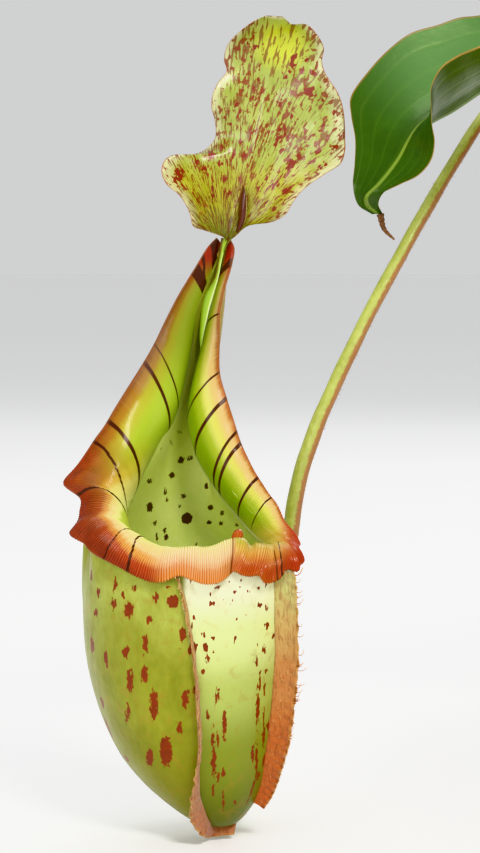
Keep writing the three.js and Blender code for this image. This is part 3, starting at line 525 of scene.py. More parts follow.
def finish_of(name, build, main=None, bump=None, glow=None, **constants):
    """A material. build(graph) gives the sockets that change over the surface, by name. main names the
    panel's colour that tints it, bump is the height's distance in metres, and glow the share of light that
    passes through it."""
    material = bpy.data.materials.new(name)
    material.use_nodes = True
    tree = material.node_tree
    tree.nodes.clear()
    g = Graph(tree, tint_of(main) if main else (1.0, 1.0, 1.0))
    shader = g.add("BsdfPrincipled")
    for key, value in constants.items():
        g.feed(shader.inputs[key.replace("_", " ")], value)
    looks = build(g)
    height = looks.pop("Height", None)
    if height is not None:
        raised = g.add("Bump", {"Height": height, "Distance": bump, "Strength": 1.0})
        g.feed(shader.inputs["Normal"], raised.outputs[0])
    for key, value in looks.items():
        g.feed(shader.inputs[key], value)
    out = g.add("OutputMaterial")
    surface = shader.outputs[0]
    if glow:
        through = g.add("BsdfTranslucent", {"Color": looks["Base Color"]})
        both = g.add("MixShader", {0: glow})
        tree.links.new(surface, both.inputs[1])
        tree.links.new(through.outputs[0], both.inputs[2])
        surface = both.outputs[0]
    tree.links.new(surface, out.inputs["Surface"])
    return material


# The pitcher's form. Its own frame has x to the viewer's right, y away from the viewer and z up from its
# foot.
CUP_WALL = 1.8
SHOULDER = 128
CUP_SECTIONS = [
    (5.2, 15, -9, 0.8, 0.8), (6.4, 14.5, -8, 8, 7), (10, 13, -7, 14.5, 13), (18, 10.5, -5, 23.5, 22),
    (28, 7.5, -3, 32, 30.5), (41, 4.5, -1.5, 40, 38.5), (56, 2.4, -0.5, 46, 45), (74, 0.4, 0, 50.5, 50),
    (96, -0.8, 0, 54, 53.5), (SHOULDER, -1, 0, 55.5, 55),
]
RIM_SHEET = {"thickness": 1.5, "ruffle_length": 14.0}
LID_THICKNESS = 1.4
# Rim stations from the top of the neck down the left lobe, round the front and up the right lobe: the edge
# that hangs in the mouth, the flared edge, the azimuth of the cup's wall below, and how far the sheet arches
# out.
RIM = [
    ((16.5, 24, 308.4), (14.2, 20, 311.8), -178, 0.08),
    ((13.0, 27, 296.3), (9.7, 20, 307.3), -175, 0.1),
    ((8.0, 30, 282.0), (2.9, 20, 296.3), -171, 0.12),
    ((2.9, 32, 266.1), (-6.1, 19, 281.4), -166, 0.15),
    ((-0.6, 33, 246.9), (-12.4, 18, 269.5), -160, 0.18),
    ((-7.3, 34, 219.1), (-18.7, 18, 256.9), -150, 0.21),
    ((-12.4, 34, 207.9), (-23.5, 17, 248.5), -142, 0.24),
    ((-19.8, 32, 196.3), (-32.4, 15, 234.4), -131, 0.26),
    ((-26.1, 27, 186.0), (-38.5, 12, 224.6), -121, 0.28),
    ((-30.5, 18, 175.1), (-44.2, 9, 215.3), -110, 0.3),
    ((-32.5, 9, 169.0), (-50.8, 5, 206.6), -100, 0.3),
    ((-32.5, 1, 166.1), (-57.9, 1, 196.4), -91, 0.3),
    ((-31.9, -7, 163.7), (-66.3, -3, 185.8), -82, 0.3),
    ((-30.9, -12, 162.1), (-57.5, -8, 178.9), -74, 0.34),
    ((-29.7, -16, 160.5), (-57.7, -14, 170.1), -67, 0.36),
    ((-27.5, -21, 158.4), (-62.1, -21, 161.0), -59, 0.36),
    ((-24.7, -26, 156.3), (-54.8, -29, 157.1), -51, 0.38),
    ((-21.5, -30, 154.2), (-49.7, -37, 152.9), -43, 0.4),
    ((-17.8, -34, 152.5), (-42.7, -45, 150.2), -34, 0.42),
    ((-13.6, -37, 151.3), (-30.3, -53, 144.7), -24, 0.44),
    ((-9.5, -39, 150.5), (-20.0, -59, 140.7), -15, 0.46),
    ((-5.4, -40, 150.1), (-12.5, -60, 140.8), -9, 0.46),
    ((-2.4, -41, 150.2), (-5.0, -60, 143.8), -4, 0.46),
    ((1.7, -41, 150.2), (2.1, -63, 141.9), 2, 0.46),
    ((6.2, -41, 150.2), (9.1, -64, 139.8), 8, 0.46),
    ((12.3, -39, 151.0), (15.5, -62, 140.5), 15, 0.46),
    ((18.4, -36, 152.8), (20.5, -58, 143.1), 23, 0.5),
    ((22.9, -31, 154.0), (23.0, -52, 145.1), 29, 0.5),
    ((26.5, -28, 150.4), (27.0, -53, 143.5), 33, 0.38),
    ((29.6, -25, 149.0), (32.0, -53, 143.0), 38, 0.4),
    ((32.7, -22, 148.2), (35.6, -51, 143.0), 44, 0.38),
    ((35.3, -19, 147.8), (39.4, -48, 138.8), 50, 0.44),
    ((37.4, -16, 148.0), (45.3, -42, 139.4), 56, 0.42),
    ((38.9, -13, 148.2), (51.0, -34, 144.4), 62, 0.4),
    ((40.0, -10, 148.4), (55.9, -28, 142.4), 68, 0.38),
    ((40.5, -7, 148.6), (57.1, -23, 144.9), 74, 0.36),
    ((40.6, -4, 148.8), (59.8, -17, 146.8), 80, 0.34),
    ((40.1, -1, 149.5), (56.0, -11, 152.4), 86, 0.32),
    ((38.5, 2, 151.3), (57.7, -6, 154.5), 91, 0.3),
    ((34.9, 6, 154.0), (52.1, 0, 161.2), 98, 0.28),
    ((30.2, 11, 158.3), (42.8, 6, 176.6), 106, 0.28),
    ((25.5, 16, 163.6), (35.4, 9, 186.9), 114, 0.27),
    ((15.9, 23, 174.6), (26.5, 12, 204.1), 126, 0.26),
    ((9.5, 27, 183.3), (21.8, 14, 218.1), 135, 0.25),
    ((3.1, 30, 194.3), (18.4, 15, 228.6), 144, 0.23),
    ((-1.4, 33, 212.2), (14.7, 17, 241.2), 155, 0.2),
    ((0.2, 33, 226.1), (14.0, 18, 252.2), 161, 0.17),
    ((5.0, 33, 247.4), (14.0, 19, 263.7), 166, 0.15),
    ((8.7, 32, 265.0), (14.5, 19, 272.7), 170, 0.14),
    ((12.0, 30, 281.5), (17.1, 20, 285.8), 173, 0.12),
    ((14.9, 27, 294.2), (21.3, 20, 299.5), 176, 0.1),
    ((17.3, 25, 305.8), (22.3, 20, 306.8), 177, 0.08),
    ((18.1, 24, 308.9), (20.2, 20, 311.0), 178, 0.08),
]

# Lid rows from its stalk to its tip: left edge, midrib and right edge.
LID = [
    ((16.7, 19.4, 304.8), (17.3, 19.4, 304.8), (17.9, 19.4, 304.8)),
    ((17, 18.6, 307.8), (18, 18.6, 307.8), (19, 18.6, 307.8)),
    ((18.4, 17, 311.0), (19.7, 18, 311.0), (21.3, 17, 311.0)),
    ((17.1, 14, 312.5), (20.2, 17, 313.1), (23.9, 14, 313.1)),
    ((8.3, 8, 315.6), (21.3, 16, 316.2), (30.2, 9, 318.2)),
    ((1.6, 3, 318.1), (22.3, 16, 320.4), (43.7, 6, 320.5)),
    ((0.3, 1, 323.3), (23.4, 16, 325.1), (49.9, 6, 324.4)),
    ((-2.0, -1, 328.9), (25.0, 16, 330.3), (53.1, 8, 329.6)),
    ((-6.1, -2, 334.6), (26.5, 16, 335.5), (57.3, 10, 335.4)),
    ((-11.7, -3, 339.2), (28.1, 16, 340.8), (62.0, 11, 339.6)),
    ((-14.5, -3, 345.4), (29.7, 16, 345.5), (70.3, 9, 345.2)),
    ((-13.4, 1, 351.2), (31.0, 16, 350.2), (78.5, 6, 350.8)),
    ((-8.9, 8, 355.0), (32.3, 16, 354.8), (80.6, 6, 357.6)),
    ((1.9, 16, 355.9), (33.6, 16, 359.5), (80.7, 9, 363.9)),
    ((8.7, 21, 359.2), (34.9, 16, 364.2), (80.7, 11, 370.2)),
    ((12.9, 22, 364.5), (36.2, 16, 369.4), (80.2, 11, 376.4)),
    ((12.9, 18, 372.7), (37.5, 16, 375.1), (78.8, 8, 382.5)),
    ((11.1, 12, 380.1), (38.8, 16, 381.4), (76.3, 5, 388.0)),
    ((11.7, 10, 386.2), (40.1, 16, 388.1), (72.9, 5, 393.1)),
    ((14.5, 12, 392.6), (41.4, 15, 394.3), (70.1, 8, 398.0)),
    ((19.0, 14, 398.9), (42.4, 14, 400.5), (68.6, 9, 403.7)),
    ((17.7, 11, 404.4), (43.4, 12, 406.5), (69.5, 6, 409.7)),
    ((19.8, 5, 412.2), (44.4, 9, 412.5), (66.8, 2, 415.5)),
    ((25.5, 0, 417.9), (45.2, 5, 417.3), (60.0, -2, 421.8)),
    ((33.2, -4, 423.2), (45.6, 0, 421.5), (52.7, -4, 421.7)),
    ((39.4, -6, 425.8), (44.5, -5, 425.7), (48.1, -6, 425.3)),
]

# Leaf 6 in rows from the stem to the tip: far margin, midrib and near margin.
FRONT_LEAF = [
    ((2, 4, 266), (-2, -1, 260), (2, -7, 267)),
    ((-28, 4, 324), (-33, -6, 317), (-29, -16, 324)),
    ((-68, -2, 374), (-75, -13, 366), (-71, -27, 375)),
    ((-113, 12, 410), (-117, -21, 396), (-116, -53, 411)),
    ((-165, 14, 438), (-165, -29, 413), (-168, -70, 434)),
    ((-215, 6, 443), (-213, -36, 415), (-219, -77, 434)),
    ((-252, -5, 439), (-252, -40, 405), (-257, -78, 422)),
    ((-278, -16, 430), (-280, -42, 392.6), (-283.5, -76, 409.5)),
    ((-289.5, -19, 428.5), (-290, -46, 386), (-295, -82, 404)),
    ((-300.5, -22, 425), (-297.5, -49, 381), (-303.5, -85, 398)),
    ((-314.5, -25, 420.5), (-304.5, -52, 377), (-308.5, -86, 388.5)),
    ((-327, -28, 411), (-310, -54, 373.5), (-308.5, -85, 379.5)),
    ((-337.5, -31, 399.5), (-315, -56, 368.5), (-308, -83, 370)),
    ((-346.5, -35, 386), (-319, -58, 362), (-306.5, -81, 361.5)),
    ((-346.5, -39, 377), (-323, -60, 354.5), (-308, -78, 352.5)),
    ((-344.5, -44, 364), (-327.5, -61, 348), (-314, -74, 345)),
    ((-345, -49, 351), (-333.5, -61, 340.5), (-323, -69, 340.5)),
    ((-346, -53, 340), (-339.5, -59, 334), (-330.5, -63, 336.5)),
    ((-343.5, -53, 330.5), (-338.5, -53, 329.5), (-333, -54, 330.5)),
    ((-336, -49, 325.5), (-333, -48, 325.5), (-330.5, -48, 325.5)),
]

# How far across the rim sheet the wall meets it, by azimuth.
SEAT_LINE = profile([
    (-180, 0.45), (-140, 0.5), (-110, 0.6), (-85, 0.72), (-60, 0.74), (-35, 0.62), (-10, 0.5), (20, 0.5),
    (50, 0.52), (75, 0.58), (100, 0.55), (140, 0.5), (180, 0.45),
])
CUP_CORE = [
    (12, -6, 20), (0, 0, 70), (0, 0, SHOULDER), (0, 12, 165), (-3, 33, 205), (0, 38, 225), (4, 36, 250),
    (12, 31, 285), (16.6, 28, 312),
]
# Azimuth, in degrees, runs from 0 towards the viewer to 90 on the viewer's right.
WING_AZIMUTHS = {
    "left": profile([
        (0.05, -34), (0.11, -26), (0.22, -14), (0.33, -8), (0.44, -5), (0.56, 0), (0.67, 3.5), (0.78, 4.4),
        (0.89, 3.8), (1, -1), (1.12, -6),
    ]),
    "right": profile([
        (0.11, 98), (0.22, 86), (0.33, 73), (0.44, 66), (0.56, 60), (0.67, 57.5), (0.78, 58), (0.89, 57.5),
        (1, 55), (1.12, 53),
    ]),
}

section_middle = Spline([(x, y, z) for z, x, y, _, _ in CUP_SECTIONS])
section_reach = Spline([(a, b, z) for z, _, _, a, b in CUP_SECTIONS])
rim_inner = Spline([row[0] for row in RIM])
rim_outer = Spline([row[1] for row in RIM])
rim_wall = profile([(i / (len(RIM) - 1), row[2]) for i, row in enumerate(RIM)])
rim_bulge = profile([(i / (len(RIM) - 1), row[3]) for i, row in enumerate(RIM)])


def cup_point(level, azimuth):
    """A point of the cup's outside between foot and shoulder. The strip between the wings is a little
    flatter."""
    level, azimuth = np.broadcast_arrays(np.asarray(level, float), np.asarray(azimuth, float))
    middle = section_middle.at(level)
    reach = section_reach.at(level)
    angle = np.radians(azimuth)
    front = (WING_AZIMUTHS["left"](level) + WING_AZIMUTHS["right"](level)) / 2
    off = np.abs((azimuth - front + 180) % 360 - 180)
    flat = 1 - 0.035 * (1 - smooth(12, 40, off)) * smooth(0.2, 0.6, level)
    return np.stack([
        middle[..., 0] + reach[..., 0] * flat * np.sin(angle),
        middle[..., 1] - reach[..., 1] * flat * np.cos(angle),
        middle[..., 2],
    ], -1)


def cup_normal(level, azimuth):
    up = cup_point(np.minimum(level + 0.01, 1), azimuth) - cup_point(np.maximum(level - 0.01, 0), azimuth)
    around = cup_point(level, azimuth + 2) - cup_point(level, azimuth - 2)
    return unit(np.cross(around, up))


def rim_point(place, across, lift=0.0):
    """The rim sheet's middle surface, lifted outwards. across runs from 0 at the inner edge to 1."""
    place, across, lift = np.broadcast_arrays(*(np.asarray(v, float) for v in (place, across, lift)))
    inner, outer = rim_inner.at(place), rim_outer.at(place)
    chord = outer - inner
    ahead, behind = np.minimum(place + 0.022, 1), np.maximum(place - 0.022, 0)
    along = (rim_inner.at(ahead) + rim_outer.at(ahead) - rim_inner.at(behind) - rim_outer.at(behind)) / 2
    out = unit(np.cross(chord, along))
    length = lengths_of(chord)
    w = across[..., None]
    height = rim_bulge(place)[..., None] * length * 1.33
    arch = 3 * w * (1 - w) * (1 - 0.25 * (w - 0.5))
    slope = 3 * (1 - 2 * w) * height
    outward = unit(out * length - chord * slope / length)
    return inner + chord * w + out * arch * height + outward * lift[..., None]


def even_rim_places(count):
    """Places along the rim at even steps of its true length, and that length."""
    t = np.linspace(0, 1, 1201)
    middle = mixed(rim_inner.at(t), rim_outer.at(t), 0.7)
    run = run_along(middle)
    wanted = np.linspace(0, run[-1], count)
    return np.interp(wanted, run, t), wanted


def core_at(heights):
    core = np.array(CUP_CORE, float)
    core = np.stack([np.interp(heights, core[:, 2], core[:, axis]) for axis in (0, 1)], -1)
    return np.concatenate([core, np.asarray(heights)[..., None]], -1)


def rim_seats(place, seat_across):
    """Where the wall's top edge sits inside the rim sheet. The rim's two ends share the apex."""
    notch = np.exp(-((rim_wall(place) + 74) / 12) ** 2)
    seats = rim_point(place, seat_across(place), -RIM_SHEET["thickness"] * (0.7 + notch))
    ends = np.array([0.0, 1.0])
    apex = rim_point(ends, seat_across(ends), -RIM_SHEET["thickness"] / 2).mean(0) - [0, 0, 3]
    share = smooth(0.03, 0, np.minimum(place, 1 - place))[:, None]
    return mixed(seats, apex, share)


def outer_seat(place):
    return SEAT_LINE(rim_wall(place))


def inner_seat(place):
    width = lengths_of(rim_outer.at(place) - rim_inner.at(place))[..., 0]
    return np.maximum(0.12, outer_seat(place) - CUP_WALL / width)


# Markings
# Red marks on the cup's outside, in the photograph's pixels: middle, width and height.
CUP_MARKS = [
    (128.9, 609.9, 9, 15), (172.8, 601.9, 12, 14), (148.8, 619.8, 6, 9), (134.5, 589.5, 4.4, 6),
    (122.9, 594.9, 4, 8), (113.5, 603.9, 4, 9), (114.9, 585.9, 3.6, 12), (97.9, 592.9, 3.6, 9),
    (95.9, 612.3, 4.4, 8), (91.5, 574.9, 2.8, 11), (155.8, 597.9, 5, 9), (167.8, 586.9, 3.6, 2.4),
    (182.8, 633.8, 7.6, 13), (192.7, 648.8, 9, 15), (145.2, 642.8, 5, 20), (125.5, 651.8, 7, 12),
    (106.5, 658.8, 4.4, 16), (91.9, 645.8, 4, 18), (129.9, 680.7, 6.4, 24), (144.4, 674.7, 7.6, 16),
    (153.8, 703.7, 8, 29.9), (185.3, 697.7, 8, 19), (194.7, 690.7, 5, 7), (127.9, 712.7, 4.4, 16),
    (179.8, 727.6, 5, 12), (101.9, 702.7, 2.8, 12), (95.9, 703.7, 2, 14), (107.9, 727.6, 4, 24),
    (149.8, 757.6, 8, 16), (165.8, 751.6, 12, 29.9), (126.9, 759.6, 4.4, 8), (117.9, 757.6, 3.6, 12),
    (90.9, 679.7, 1.6, 12), (203.7, 634.8, 5, 7), (213.3, 637.8, 3.6, 4), (205.7, 645.8, 4.4, 10),
    (207.3, 659.8, 3.2, 7), (202.7, 671.3, 3, 5), (216.7, 695.7, 3.6, 16), (207.7, 715.6, 3.2, 9),
    (224.3, 724.6, 3.6, 22), (212.7, 737.6, 3, 18), (217.7, 739.6, 2.4, 16), (213.7, 761.6, 4, 29.9),
    (223.7, 772.5, 4, 9), (218.3, 776.5, 2.4, 8), (213.3, 789.5, 2, 10), (223.3, 799.5, 2, 14),
    (235.2, 802.5, 2.8, 4), (267.6, 625.8, 6, 6), (273.6, 635.8, 3.6, 4), (259.6, 604.9, 5, 5),
    (263.6, 649.8, 2, 8), (256.6, 661.8, 2, 8), (265.6, 670.7, 3.6, 4), (259.6, 679.7, 1.6, 16),
    (264.6, 688.7, 2, 12), (274, 679.7, 2.8, 6), (257.6, 707.7, 2.8, 29.9), (263.6, 715.6, 1.6, 16),
    (267.6, 725.6, 3.6, 8), (263.6, 737.6, 2.4, 16), (252.6, 755.6, 2.4, 16), (256.6, 757.6, 2, 29.9),
    (264, 759.6, 2, 16), (257.6, 775.5, 2.4, 8), (252.6, 787.5, 2, 24), (211.7, 603.9, 4.8, 4.4),
    (217.7, 586.9, 4, 5.2), (234.7, 591.9, 3.6, 4.4), (248.6, 591.5, 2.8, 2.8), (258.6, 587.9, 2, 2.8),
    (210.7, 593.9, 1.6, 2.8), (222.7, 599.9, 2, 1.6), (229.7, 581.9, 1.6, 2), (240.6, 586.9, 3.2, 1.6),
    (236.6, 619.8, 1.6, 1.6), (240.6, 637.8, 1.2, 1.6), (246.6, 651.8, 1.2, 2), (213.7, 651.8, 2, 2.8),
    (214.7, 672.7, 1.6, 2),
]

# Brown marks inside the cup, in the photograph's pixels.
LINING_MARKS = [
    (149.6, 507.5, 6.6, 10), (186.9, 518.2, 11.6, 11.6), (210.1, 507.5, 5.8, 5.8), (222.5, 513.3, 4.6, 6.6),
    (209.3, 522.4, 4.6, 4.1), (220.9, 523.2, 4.1, 4.1), (154.9, 523.2, 3, 5.8), (164.5, 529.9, 3.6, 4.6),
    (157, 537.3, 2.5, 8.3), (166.1, 537.3, 4.1, 6.6), (179.4, 506.3, 3.3, 3.3), (195.7, 544.4, 3.3, 3.3),
    (237.1, 524.9, 4.6, 4.6), (181, 460, 7, 7), (190, 458, 7, 5), (171.5, 443, 3, 10), (179, 431, 4, 5),
    (161, 449, 2, 5), (183, 448, 1.5, 1.5), (150.5, 481.6, 6.6, 7), (171.8, 475, 6.2, 6.6),
    (165.3, 492, 3, 6.6), (167, 500, 3, 3.4), (183.4, 496.5, 6.4, 4.6), (206.4, 486, 3.2, 6),
]

# Red marks on the lid, in the photograph's pixels: middle, size round the lid's base and size away from it.
LID_MARKS = [
    (293, 61, 8.2, 16.5), (288, 76, 4.5, 12), (309, 92, 10.5, 12), (318, 95, 4.5, 6), (312, 73, 7.5, 6),
    (305, 60, 5.4, 4.5), (308, 50, 4.5, 3.7), (303, 69, 3, 6), (298, 86, 4.5, 6.3), (260, 65, 3.3, 12),
    (258, 76, 2.7, 9), (251, 58, 5.1, 7.5), (255, 49, 3.9, 6), (246, 44, 3.3, 7.5), (246, 65, 3.6, 7.5),
    (254, 98, 4.2, 12), (255, 107, 5.7, 6), (239, 112, 5.4, 12), (237, 103, 5.1, 7.5),
    (230, 124, 5.7, 4.5), (236, 128, 3.3, 6), (225, 145, 6.6, 9), (211, 155, 9, 12), (233, 155, 5.4, 9),
    (244, 155, 4.8, 9), (221, 163, 5.7, 9), (203, 169, 5.4, 9), (179, 172, 9, 12), (177, 179, 8.4, 9),
    (183, 185, 5.1, 7.5), (196, 161, 4.5, 9), (224, 179, 6.6, 9), (228, 193, 6.6, 9),
    (213, 188, 4.5, 7.5), (213, 197, 5.1, 9.9), (239, 197, 3.9, 16.5), (279, 140, 7.5, 15),
    (282, 128, 6, 7.5), (288, 136, 6.6, 9), (300, 155, 5.4, 13.5), (317, 152, 6.9, 10.5),
    (291, 165, 9.6, 13.5), (324, 164, 5.1, 10.5), (337, 146, 4.2, 6), (311, 162, 4.2, 6),
    (273, 167, 4.5, 6), (267, 179, 4.8, 6.3), (275, 184, 6.6, 12), (258, 190, 4.2, 10.5),
    (281, 151, 6, 7.5), (333, 112, 4.8, 9), (322, 126, 2.7, 6), (294, 121, 5.1, 6.3), (293, 115, 3.9, 6),
    (252, 134, 4.8, 9), (240, 143, 3.9, 7.5), (308, 137, 3.3, 6.3), (273, 209, 5.1, 7.5),
    (284, 192, 3.3, 25.5), (265, 204, 2.7, 9), (321, 104, 2.1, 4.5), (314, 160, 3, 4.5), (227, 115, 3, 6),
    (219, 134, 3, 6), (267, 139, 2.1, 9), (279, 106, 2.7, 10.5),
]

# Dark stripes of the rim, in the photograph's pixels: outer end, inner end and width in millimetres.
RIM_STRIPES = [
    ((196, 270), (204, 295), 7.0), ((217, 244), (215, 271), 7.5), ((231, 262), (219, 280), 5.5),
    ((213, 262), (212, 288), 3.0), ((217.6, 314), (207, 329), 1.2), ((218, 372), (188, 425), 1.4),
    ((226, 398), (197, 458), 2.4), ((237, 431), (215, 492), 1.8), ((242, 442), (221, 498), 2.2),
    ((258, 477), (238, 520), 1.6), ((258, 505), (248, 535), 0.8), ((156, 345), (177, 413), 1.1),
    ((145, 362), (168, 434), 2.3), ((108, 419), (133, 498), 2.6), ((95, 439), (128, 515), 1.6),
    ((85, 486), (129, 515), 1.6), ((105, 556), (136, 533), 1.2), ((128, 568), (148, 540), 1.7),
    ((281, 573), (268, 549), 1.4), ((276, 574), (262, 549), 0.8),
]
PIXELS_PER_MM = 1.92
HALF_PIXEL = 0.26
# The value of a distance field, in millimetres, where no mark is near.
NO_MARK = 30.0


def mark_field(pixels, marks, towards):
    """The distance in millimetres to the nearest oval mark, below 0 inside it. Each oval's height points to
    the pixel towards."""
    field = np.full(pixels.shape[:-1], NO_MARK)
    for x, y, width, height in marks:
        offset = pixels - (x, y)
        away = unit(np.subtract((x, y), towards))
        offset = np.stack([offset @ (away[1], -away[0]), offset @ away], -1)
        radius = lengths_of(offset / (width / 2, height / 2))[..., 0]
        field = np.minimum(field, (radius - 1) * min(width, height) / 2 / PIXELS_PER_MM)
    return field


# How squarely a place faces the camera when it counts as seen, and when its mark keeps its pictured shape.
TURNED_AWAY, FULL_FACE, OUT_OF_SIGHT = 0.05, 0.6, 1000.0
FEWEST_PIXELS_PER_MM = 0.85
# How far from its middle a mark reaches at most, in millimetres.
MARK_REACH = 24


def planted_field(points, marks):
    """The distance in millimetres over a skin of rings to the nearest mark. Each mark sits where its pixel
    falls on the skin, and is as wide there as the photograph shows it."""
    pixels, facing = in_photo(points + PITCHER_AT), facing_camera(points)
    field = np.full(facing.shape, NO_MARK)
    hidden = np.where(facing < TURNED_AWAY, OUT_OF_SIGHT, 0.0)
    columns = points.shape[1]
    for x, y, width, height in marks:
        row, column = np.unravel_index(np.argmin(lengths_of(pixels - (x, y))[..., 0] + hidden), facing.shape)
        row = min(max(row, 1), len(points) - 2)
        beside, before = (row, (column + 1) % columns), (row, column - 1)
        above, below = (row + 1, column), (row - 1, column)
        across, upward = points[beside] - points[before], points[above] - points[below]
        wide, high = np.linalg.norm(across), np.linalg.norm(upward)
        pixels_across = np.linalg.norm(pixels[beside] - pixels[before]) / wide
        pixels_upward = np.linalg.norm(pixels[above] - pixels[below]) / high
        half_width = width / 2 / max(pixels_across, FEWEST_PIXELS_PER_MM)
        half_height = height / 2 / max(pixels_upward, FEWEST_PIXELS_PER_MM)
        across, upward = across / wide, upward / high
        offset = points - points[row, column]
        radius = np.hypot(offset @ across / half_width, offset @ upward / half_height)
        slim = min(half_width, half_height)
        if facing[row, column] > FULL_FACE:
            radius = np.hypot((pixels[..., 0] - x) / width, (pixels[..., 1] - y) / height) * 2
            slim = min(width, height) / 2 / PIXELS_PER_MM
        near = (radius - 1) * max(slim, 1.0) - 0.4 * math.exp(-(slim / 0.8) ** 2)
        field = np.minimum(field, np.where(lengths_of(offset)[..., 0] < MARK_REACH, near, NO_MARK))
    return field


def scattered_field(across, height, where, seed, count, reach, sizes):
    """The distance to the nearest of count upright ovals, at random places in a band of a surface."""
    rng = np.random.default_rng(seed)
    field = np.full(height.shape, NO_MARK)
    low, high = reach
    for _ in range(count):
        middle = rng.uniform(low, high)
        half = rng.uniform(*sizes) * rng.uniform(0.5, 1)
        tall = half * rng.uniform(1.2, 3.6)
        radius = np.hypot((across - middle[0]) / half, (height - middle[1]) / tall)
        field = np.minimum(field, (radius - 1) * half)
    return np.where(where, field, NO_MARK)


# Pitcher cup
CUP_COLUMNS = 280
CUP_STEP = {"outside": 1.25, "climb": 70, "inside_low": 22, "inside_climb": 118}
# The lining starts at this height over the foot, and its well lies this far over the foot's lowest point.
LINING_FROM, WELL_UP = 14, 3.2
# The radii that turn an azimuth into a distance round the wall, outside and inside.
CUP_RADIUS, LINING_RADIUS = 55, 52
# Marks at random places where the photograph shows none: seed, number, two corners of their band as distance
# round the wall and height, and the range of their half widths.
MARKS_BEHIND = (11, 34, ((96, 22), (176, 150)), (0.9, 3.2)), (12, 34, ((96, 22), (176, 150)), (0.9, 3.4))
SHOULDER_SPECKS = (14, 90, ((-4, 36), (104, 148)), (0.45, 0.8))
LINING_SPOTS = (21, 90, ((-165, 60), (165, 150)), (0.5, 2.0))


def cup_places(count):
    """Places along the rim for the cup's columns, closer together where the front shows."""
    t = np.linspace(0, 1, 4001)
    azimuth = rim_wall(t)
    middle = mixed(rim_inner.at(t), rim_outer.at(t), 0.5)
    run = lengths_of(np.diff(middle, axis=0))[:, 0]
    turn = np.radians(np.abs(np.diff(azimuth))) * CUP_RADIUS
    front = mixed(0.42, 1.0, smooth(118, 95, np.abs(azimuth[1:])))
    weight = np.concatenate([[0], np.cumsum(np.maximum(turn * front, run * 0.32))])
    wanted = np.linspace(0, weight[-1], count, endpoint=False)
    return np.interp(wanted, weight, t)


def cup_skin(place, climb_rows):
    """Rings of the cup's outside from foot to rim, and the number of rings below the shoulder."""
    azimuth = rim_wall(place)
    t = np.linspace(0.004, 1, 900)
    run = run_along(cup_point(t, 90))
    rows = int(run[-1] / CUP_STEP["outside"])
    level = np.interp(np.linspace(0, run[-1], rows), run, t)
    lower = cup_point(level[:, None], azimuth[None])
    start = cup_point(1.0, azimuth)
    seat = rim_seats(place, outer_seat)
    span = lengths_of(seat - start)
    back = np.maximum(0, -np.cos(np.radians(azimuth)))[:, None]
    rise = unit(cup_point(1.0, azimuth) - cup_point(0.985, azimuth))
    leave = start + rise * span * 0.36
    arrive = seat + np.concatenate([0 * span, back * span * 0.15, -span * 0.26], -1)
    climb = np.linspace(0, 1, climb_rows + 1)[1:, None]
    upper = bezier(start, leave, arrive, seat, climb)
    return np.concatenate([lower, upper]), len(level)


def outward_normals(rings):
    """The normals of a closed skin of rings. They point out where the rings run upwards."""
    around = np.roll(rings, -1, axis=1) - np.roll(rings, 1, axis=1)
    return unit(np.cross(around, np.gradient(rings, axis=0)))


def thinned(rings):
    """The wall's inside: each point moved in, between the way to the core and the way square to the wall."""
    inward = core_at(rings[..., 2]) - rings
    distance = lengths_of(inward)
    way = unit(inward / distance - outward_normals(rings))
    return rings + way * np.minimum(CUP_WALL, 0.35 * distance)


def facing_camera(rings):
    """How squarely each point of a closed skin of rings faces the camera with its outside, from -1 to 1."""
    return (outward_normals(rings) * unit(CAMERA_AT - PITCHER_AT - rings)).sum(-1)


# Where the zones of the cup's outside start and where they are whole, in millimetres and degrees.
STRIP_EDGE, STRIP_TOP = 1.5, 165
NECK_HEIGHTS, NECK_AZIMUTHS = (140, 210), (60, 110)
BEHIND_BELOW, SPECKS_ABOVE, LINING_SEEN_ABOVE = 150, 100, 138


def cup_values(rings, azimuth):
    """The marks of the cup's outside, the strip between its wings and its neck."""
    arc, height = np.radians(azimuth) * CUP_RADIUS, rings[..., 2]
    right_of_middle, left_of_middle = MARKS_BEHIND
    field = np.minimum.reduce([
        planted_field(rings, CUP_MARKS),
        scattered_field(arc, height, height < BEHIND_BELOW, *right_of_middle),
        scattered_field(-arc, height, height < BEHIND_BELOW, *left_of_middle),
        scattered_field(arc, height, (rings[..., 1] < 0) & (height > SPECKS_ABOVE), *SHOULDER_SPECKS),
    ])
    levels = np.linspace(0, 1, 200)
    level = np.interp(height, section_middle.at(levels)[:, 2], levels)
    strip = smooth(-STRIP_EDGE, STRIP_EDGE, azimuth - WING_AZIMUTHS["left"](level))
    strip = strip * smooth(STRIP_EDGE, -STRIP_EDGE, azimuth - WING_AZIMUTHS["right"](level))
    neck = smooth(*NECK_HEIGHTS, height) * smooth(*NECK_AZIMUTHS, np.abs(azimuth))
    return {"mark": field, "strip": np.where(height < STRIP_TOP, strip, 0), "neck": neck}


def lining_rings(place):
    """The wall's inside, from its lip down to the well."""
    dense, lower_rows = cup_skin(place, CUP_STEP["inside_climb"])
    first = np.argmax(dense[..., 2].mean(1) > LINING_FROM)
    low_rows = np.linspace(first, lower_rows, CUP_STEP["inside_low"]).astype(int)
    inside = thinned(np.concatenate([dense[low_rows], dense[lower_rows + 1:-1]]))
    return np.concatenate([inside, rim_seats(place, inner_seat)[None]])[::-1]


def lining_values(rings, azimuth):
    arc, height = np.radians(azimuth) * LINING_RADIUS, rings[..., 2]
    hidden = (rings[..., 1] < 0) | (height < LINING_SEEN_ABOVE)
    spots = scattered_field(arc, height, hidden, *LINING_SPOTS)
    return {"mark": np.minimum(planted_field(rings, LINING_MARKS), spots), "strip": 0.0, "neck": 0.0}


